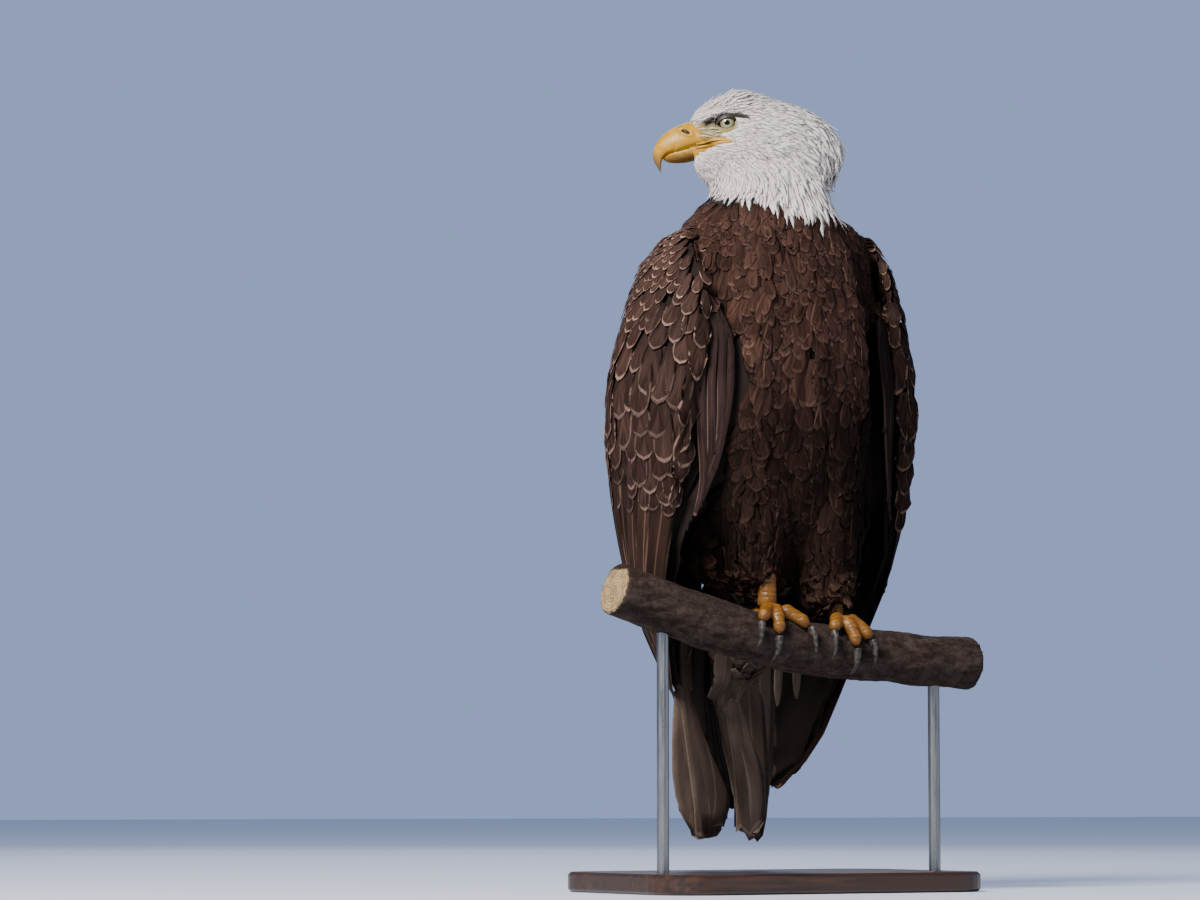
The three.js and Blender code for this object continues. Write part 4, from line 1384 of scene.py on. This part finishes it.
def eyeMaterial():
    look, made, shader = plainMaterial("eye", 0.12, {"Coat Weight": 1.0, "Coat Roughness": 0.02})
    seen = made.add("ShaderNodeUVMap", {"uv_map": "gaze"}).outputs[0]
    split = made.add("ShaderNodeSeparateXYZ", None, Vector=seen).outputs
    squares = [made.math("POWER", split[i], 2.0) for i in (0, 1)]
    radius = made.math("SQRT", made.plus(*squares))
    spokes = made.add("ShaderNodeVectorMath", {"operation": "NORMALIZE"}, n0=seen).outputs[0]
    iris = made.blotched(made.noise(spokes, 9.0, 4.0), 0.35, 0.65, "8A8358", "AAA374")
    iris = made.mix(made.steps(radius, 0.5, 1.0), iris, colour("6E6640"))
    pupilEdge = made.steps(radius, eye["pupil"] - 0.02, eye["pupil"] + 0.02)
    base = made.mix(pupilEdge, (0.002, 0.002, 0.002, 1), iris)
    made.set(shader, "Base Color", made.mix(made.steps(radius, 0.94, 1.04), base, colour("0C0907")))
    return look


def lidMaterial():
    look, made, shader = plainMaterial("lid_skin", 0.5)
    mottle = made.noise(made.place(), 500.0)
    base = made.blotched(mottle, 0.35, 0.65, "8F8550", "B3A45C")
    # painted shadow from the brow: the upper lid is coloured dark brown
    base = made.mix(made.read("upper"), base, colour("352D25"))
    made.finish(shader, made.mix(made.read("lip"), base, colour("14110E")), mottle, 0.4, 0.0004)
    return look


def gazeAxes(sign):
    ahead, out, up = eye["gaze"]
    axis = unit(ahead * forward + sign * out * leftward + up * upward)
    front = unit(forward - axis * (forward @ axis))
    above = np.cross(axis, front)
    return axis, front, above * math.copysign(1, above[2])


eyeLook, lidLook = eyeMaterial(), lidMaterial()


def makeEye(side):
    sign = sides[side]
    axis, front, above = gazeAxes(sign)
    centre = inHead(eye["s"], sign * eye["l"], eye["h"])
    made = bmesh.new()
    bmesh.ops.create_uvsphere(made, u_segments=48, v_segments=32, radius=eye["radius"] * mm)
    turn = Vector(axis).to_track_quat("Z", "Y").to_matrix().to_4x4()
    sight = {v: (v.co.x / (eye["iris"] * mm), v.co.y / (eye["iris"] * mm), v.co.z) for v in made.verts}
    reach = eye["iris"] * eye["bulgeReach"] * mm
    for v in made.verts:
        off = math.hypot(v.co.x, v.co.y)
        if v.co.z > 0 and off < reach:
            v.co.z += eye["bulge"] * mm * (1 - (off / reach) ** 2)
    layer = made.loops.layers.uv.new("gaze")
    for face in made.faces:
        for loop in face.loops:
            x, y, z = sight[loop.vert]
            loop[layer].uv = (x, y) if z > 0 else (3, 3)
    bmesh.ops.transform(made, matrix=Matrix.Translation(centre) @ turn, verts=made.verts)
    showPiece(meshOf(made, f"eyeball_{side}"), f"eyeball_{side}", [eyeLook], [f"eye_{side}"])

    def opening(angle):
        # half the gap between the lids in one direction, as an angle at the ball's middle
        c, d = math.cos(angle - lids["tilt"]), math.sin(angle - lids["tilt"])
        wide = lids["front"] if c > 0 else lids["rear"]
        high = lids["up"] if d > 0 else lids["down"]
        power = lids["square"]
        reach = 1 / ((abs(c) / wide) ** power + (abs(d) / high) ** power) ** (1 / power)
        return math.asin(reach / eye["radius"])

    def lidPlace(angle, t):
        # once round the lid's section: out over its back, round its lip and back under it
        high = max(math.sin(angle - lids["tilt"]), 0)
        gap, far = opening(angle), math.radians(lids["edge"] - lids["edgeRise"] * high)
        thick = lids["thick"] + (lids["browThick"] - lids["thick"]) * high ** 0.8
        turnBack = abs(2 * t - 1)
        span = gap + (far - gap) * turnBack ** 1.25
        out = eye["radius"] + lids["clear"]
        if t < 0.5:
            out += thick * math.sqrt(max(1 - turnBack ** 6, 0)) * min(1, (0.5 - t) * 9) ** 0.5
        way = math.cos(angle) * front + math.sin(angle) * above
        return centre + (math.cos(span) * axis + math.sin(span) * way) * out * mm

    mesh = meshOf(shaped(64, 28, lidPlace), f"lids_{side}")
    off = pointsOf(mesh) - centre
    x, y = off @ front / mm, off @ above / mm
    angle = np.arctan2(y, x)
    span = np.arccos(np.clip(unit(off) @ axis, -1, 1))
    gap = np.array([opening(a) for a in angle])
    upper = smoothstep(np.sin(angle - lids["tilt"]), -0.45, 0.25)
    # the lip is the lid's own dark rim; on the upper lid it is widened as painted shadow from the brow
    store(mesh, lip=1 - smoothstep(span - gap, 0.03 + 0.03 * upper, 0.07 + 0.08 * upper), upper=upper)
    showPiece(mesh, f"lids_{side}", [lidLook])


for side in sides:
    makeEye(side)

brow = {
    "line": browTop[::-1],
    "radius": profile([[0, 1.5], [0.3, 2.5], [0.55, 2.9], [0.8, 1.8], [1, 0.5]]),
    "end": 0.05, "proud": 2.1, "flat": 1.3, "steps": 44,
}


def makeBrows():
    # the ridge that overhangs the eye, from the bill's root back to the temple, near black as painted shadow
    look = mottledMaterial("brow_painted_shadow", 0.6, 600.0, "1F1915", "3D342B", 0.4)
    line = curve(brow["line"])
    for side, sign in sides.items():
        reach = [cheekAt(line(t)[0], sign, line(t)[1], 18) for t in np.linspace(0, 1, 21)]
        layRoll(f"brow_{side}", look, sign, line, evened(reach, 4), brow)


makeBrows()
print("bill and eyes")


branchHeight = profile(branchMiddle)
talon = {
    "radius": 5.6, "tip": 0.4, "perch": 26.4, "toe": 5.6, "arch": 2.4, "sink": 3.0, "fan": 0.12,
    "from": 0.02, "further": 0.25, "flat": 0.82,
    "legs": {"right": (-38, 1, {1: -2, 2: 33, 3: -8, 4: -27}),
             "left": (42, -1, {1: -2, 2: 20, 3: -4, 4: -24})},
    "toes": {1: (1.95, 3.05, 0.95), 2: (1.35, 0.62, 0.72), 3: (1.3, 0.12, 0.75), 4: (1.35, 0.42, 0.7)},
}


def makeClaws():
    # curved horn claws in line with the toes, round the branch
    look = mottledMaterial("claw", 0.42, 260.0, "1F1C1B", "4A4541", 0.15, {"Specular IOR Level": 0.35})
    for side, (legX, mirror, spreads) in talon["legs"].items():
        for number, (first, last, sweep) in talon["toes"].items():
            turn = math.copysign(1, last - first)

            def path(t):
                x = legX + mirror * spreads[number] * (1 + talon["fan"] * t)
                angle = last + turn * (talon["from"] + (sweep + talon["further"]) * t)
                out = talon["perch"] + talon["toe"] + talon["arch"] * math.sin(math.pi * t)
                out -= talon["sink"] * t
                return np.array([x, -out * math.cos(angle), float(branchHeight(x)) + out * math.sin(angle)])

            def place(angle, t):
                ahead = unit(path(min(t + 0.01, 1.01)) - path(t - 0.01))
                across = unit(np.cross(ahead, np.array([1.0, 0, 0])))
                radius = (talon["radius"] + (talon["tip"] - talon["radius"]) * t ** 0.85) * rounded(t, 0.05)
                radius *= rounded(1 - t, 0.03)
                off = np.array([talon["flat"], 0, 0]) * math.cos(angle) + across * math.sin(angle)
                return (path(t) + off * radius) * mm

            name = f"claw_{side}_{number}"
            showPiece(meshOf(shaped(16, 26, place), name), f"talon_{side}_{number}", [look], [name])


makeClaws()


def barkMaterial():
    look, made, shader = plainMaterial("bark", 0.88, {"Specular IOR Level": 0.08})
    grain = made.stretched((0.35, 1, 1))
    rough = made.noise(grain, 130.0, 6.0, 0.65)
    base = made.blotched(rough, 0.35, 0.65, "2C211D", "4A3D38")
    base = made.mix(made.steps(made.noise(grain, 28.0), 0.5, 0.7), base, colour("3C332F"))
    base = made.mix(made.times(made.read("hollow"), 0.5), base, colour("332B27"))
    fromCrack = made.math("ABSOLUTE", made.minus(made.noise(made.place(), 55.0, 5.0, 0.7), 0.5))
    crack = made.minus(1.0, made.steps(fromCrack, 0.0, 0.03))
    base = made.mix(made.times(crack, 0.35), base, colour("332B26"))
    ring = made.math("SINE", made.math("MULTIPLY_ADD", made.read("ring"), 1900.0, made.times(rough, 3.0)))
    wood = made.blotched(ring, -0.6, 1.0, "B39870", "94795A")
    made.finish(shader, made.mix(made.read("cut"), base, wood), made.minus(rough, made.times(crack, 0.6)),
                0.8, 0.002)
    return look


bark = {"voxel": 2.2 * mm, "smoothing": 5, "knobs": 2.2, "ridges": 1.3, "fine": 0.5, "sawn": 12 * mm}


def makePerch():
    # the branch with its knobs and ridges, and sawn wood at both ends
    mesh = remeshed(["perch"], bark["voxel"], bark["smoothing"])
    points = pointsOf(mesh)
    normals = normalsOf(mesh)
    low, high = points[:, 0].min(), points[:, 0].max()
    cut = smoothstep(np.abs(normals[:, 0]), 0.75, 0.9)
    cut *= (points[:, 0] < low + bark["sawn"]) | (points[:, 0] > high - bark["sawn"])

    def relief(along, across):
        return np.array([noise.noise(Vector(p)) for p in points * (along, across, across)])

    knobs, ridges, fine = relief(22, 22), np.abs(relief(35, 130)), relief(160, 320)
    offset = (knobs * bark["knobs"] + (0.3 - ridges) * bark["ridges"] + fine * bark["fine"]) * mm * (1 - cut)
    points += normals * offset[:, None]
    mesh.vertices.foreach_set("co", points.ravel())
    ring = np.hypot(points[:, 1], points[:, 2] - branchHeight(points[:, 0] / mm) * mm)
    store(mesh, cut=cut, hollow=(1 - cut) * smoothstep(ridges, 0.3, 0.6), ring=ring)
    showPiece(mesh, "branch", [barkMaterial()], ["perch"])
    print("branch", len(mesh.polygons), "faces")


makePerch()


def woodMaterial():
    look, made, shader = plainMaterial("stand_wood", 0.35, {"Coat Weight": 0.3, "Coat Roughness": 0.15})
    grain = made.stretched((0.08, 1, 1))
    lines = made.noise(grain, 160.0, 5.0, 0.6)
    rings = made.steps(made.noise(grain, 30.0, 2.0), 0.45, 0.6)
    base = made.blotched(lines, 0.35, 0.7, "2A1A12", "4A2F20")
    made.finish(shader, made.mix(rings, base, colour("38231A")), lines, 0.15, 0.0005)
    return look


def steelMaterial():
    look, made, shader = plainMaterial("stand_steel", 0.3, {"Metallic": 1.0})
    lines = made.noise(made.stretched((1, 1, 0.03)), 900.0)
    made.set(shader, "Base Color", made.mix(lines, colour("9C9C9C"), colour("B8B8B8")))
    made.set(shader, "Roughness", made.steps(lines, 0.3, 0.7, 0.24, 0.4))
    return look


def wear(look, *names):
    for name in names:
        data = nodes[name].data
        for i in range(max(len(data.materials), 1)):
            if i < len(data.materials):
                nodes[name].material_slots[i].material = look
            else:
                data.materials.append(look)


wear(woodMaterial(), "stand_base")
wear(steelMaterial(), "stand_rod_right", "stand_rod_left")
print("perch and stand")

stage = {
    "floor": "C9CED6", "floorSize": 14, "floorGlow": 0.5, "backdrop": "8FA2CE", "backdropLevel": 1.08,
    "ambient": 0.34,
}


def makeStage():
    made = bmesh.new()
    bmesh.ops.create_grid(made, x_segments=1, y_segments=1, size=stage["floorSize"])
    mesh = meshOf(made, "floor")
    floor = bpy.data.objects.new("floor", mesh)
    bpy.context.collection.objects.link(floor)
    look, glow, shader = plainMaterial("floor", 0.8)
    shader.inputs["Base Color"].default_value = colour(stage["floor"])
    shader.inputs["Emission Color"].default_value = colour(stage["backdrop"])
    seen = glow.add("ShaderNodeLightPath").outputs["Is Camera Ray"]
    glow.set(shader, "Emission Strength", glow.times(seen, stage["floorGlow"]))
    mesh.materials.append(look)

    world = bpy.data.worlds.new("studio")
    bpy.context.scene.world = world
    world.use_nodes = True
    made = Nodes(world.node_tree)
    backdrop = world.node_tree.nodes["Background"]
    backdrop.inputs["Color"].default_value = colour(stage["backdrop"])
    isSeen = made.add("ShaderNodeLightPath").outputs["Is Camera Ray"]
    level = made.math("MULTIPLY_ADD", isSeen, stage["backdropLevel"] - stage["ambient"], stage["ambient"])
    made.set(backdrop, "Strength", level)


lightAim = Vector((0, 0.05, 0.5))
lights = {
    "key": {"from": (-2.9, -1.5, 3.0), "size": 1.5, "power": 350, "tint": (1, 0.965, 0.92)},
    "fill": {"from": (2.6, -2.6, 1.4), "size": 2.4, "power": 10, "tint": (0.9, 0.95, 1)},
    "rim": {"from": (1.2, 2.8, 2.2), "size": 1.6, "power": 26, "tint": (1, 1, 1)},
}


def makeLights():
    for name, settings in lights.items():
        data = bpy.data.lights.new(name, "AREA")
        data.size = settings["size"]
        data.energy = settings["power"]
        data.color = settings["tint"]
        lamp = bpy.data.objects.new(name, data)
        bpy.context.collection.objects.link(lamp)
        lamp.location = settings["from"]
        lamp.rotation_euler = (lightAim - Vector(settings["from"])).to_track_quat("-Z", "Y").to_euler()


camera = {"azimuth": -30, "elevation": -5, "distance": 4.0, "aim": (-0.173, 0.1, 0.44), "lens": 120}


def makeCamera():
    azimuth, elevation = math.radians(camera["azimuth"]), math.radians(camera["elevation"])
    back = Vector((math.sin(azimuth) * math.cos(elevation), -math.cos(azimuth) * math.cos(elevation),
                   math.sin(elevation)))
    data = bpy.data.cameras.new("camera")
    data.lens = camera["lens"]
    data.sensor_width = 36
    data.clip_end = 60
    view = bpy.data.objects.new("camera", data)
    bpy.context.collection.objects.link(view)
    view.location = Vector(camera["aim"]) + back * camera["distance"]
    view.rotation_euler = (-back).to_track_quat("-Z", "Y").to_euler()
    bpy.context.scene.camera = view


makeStage()
makeLights()
makeCamera()
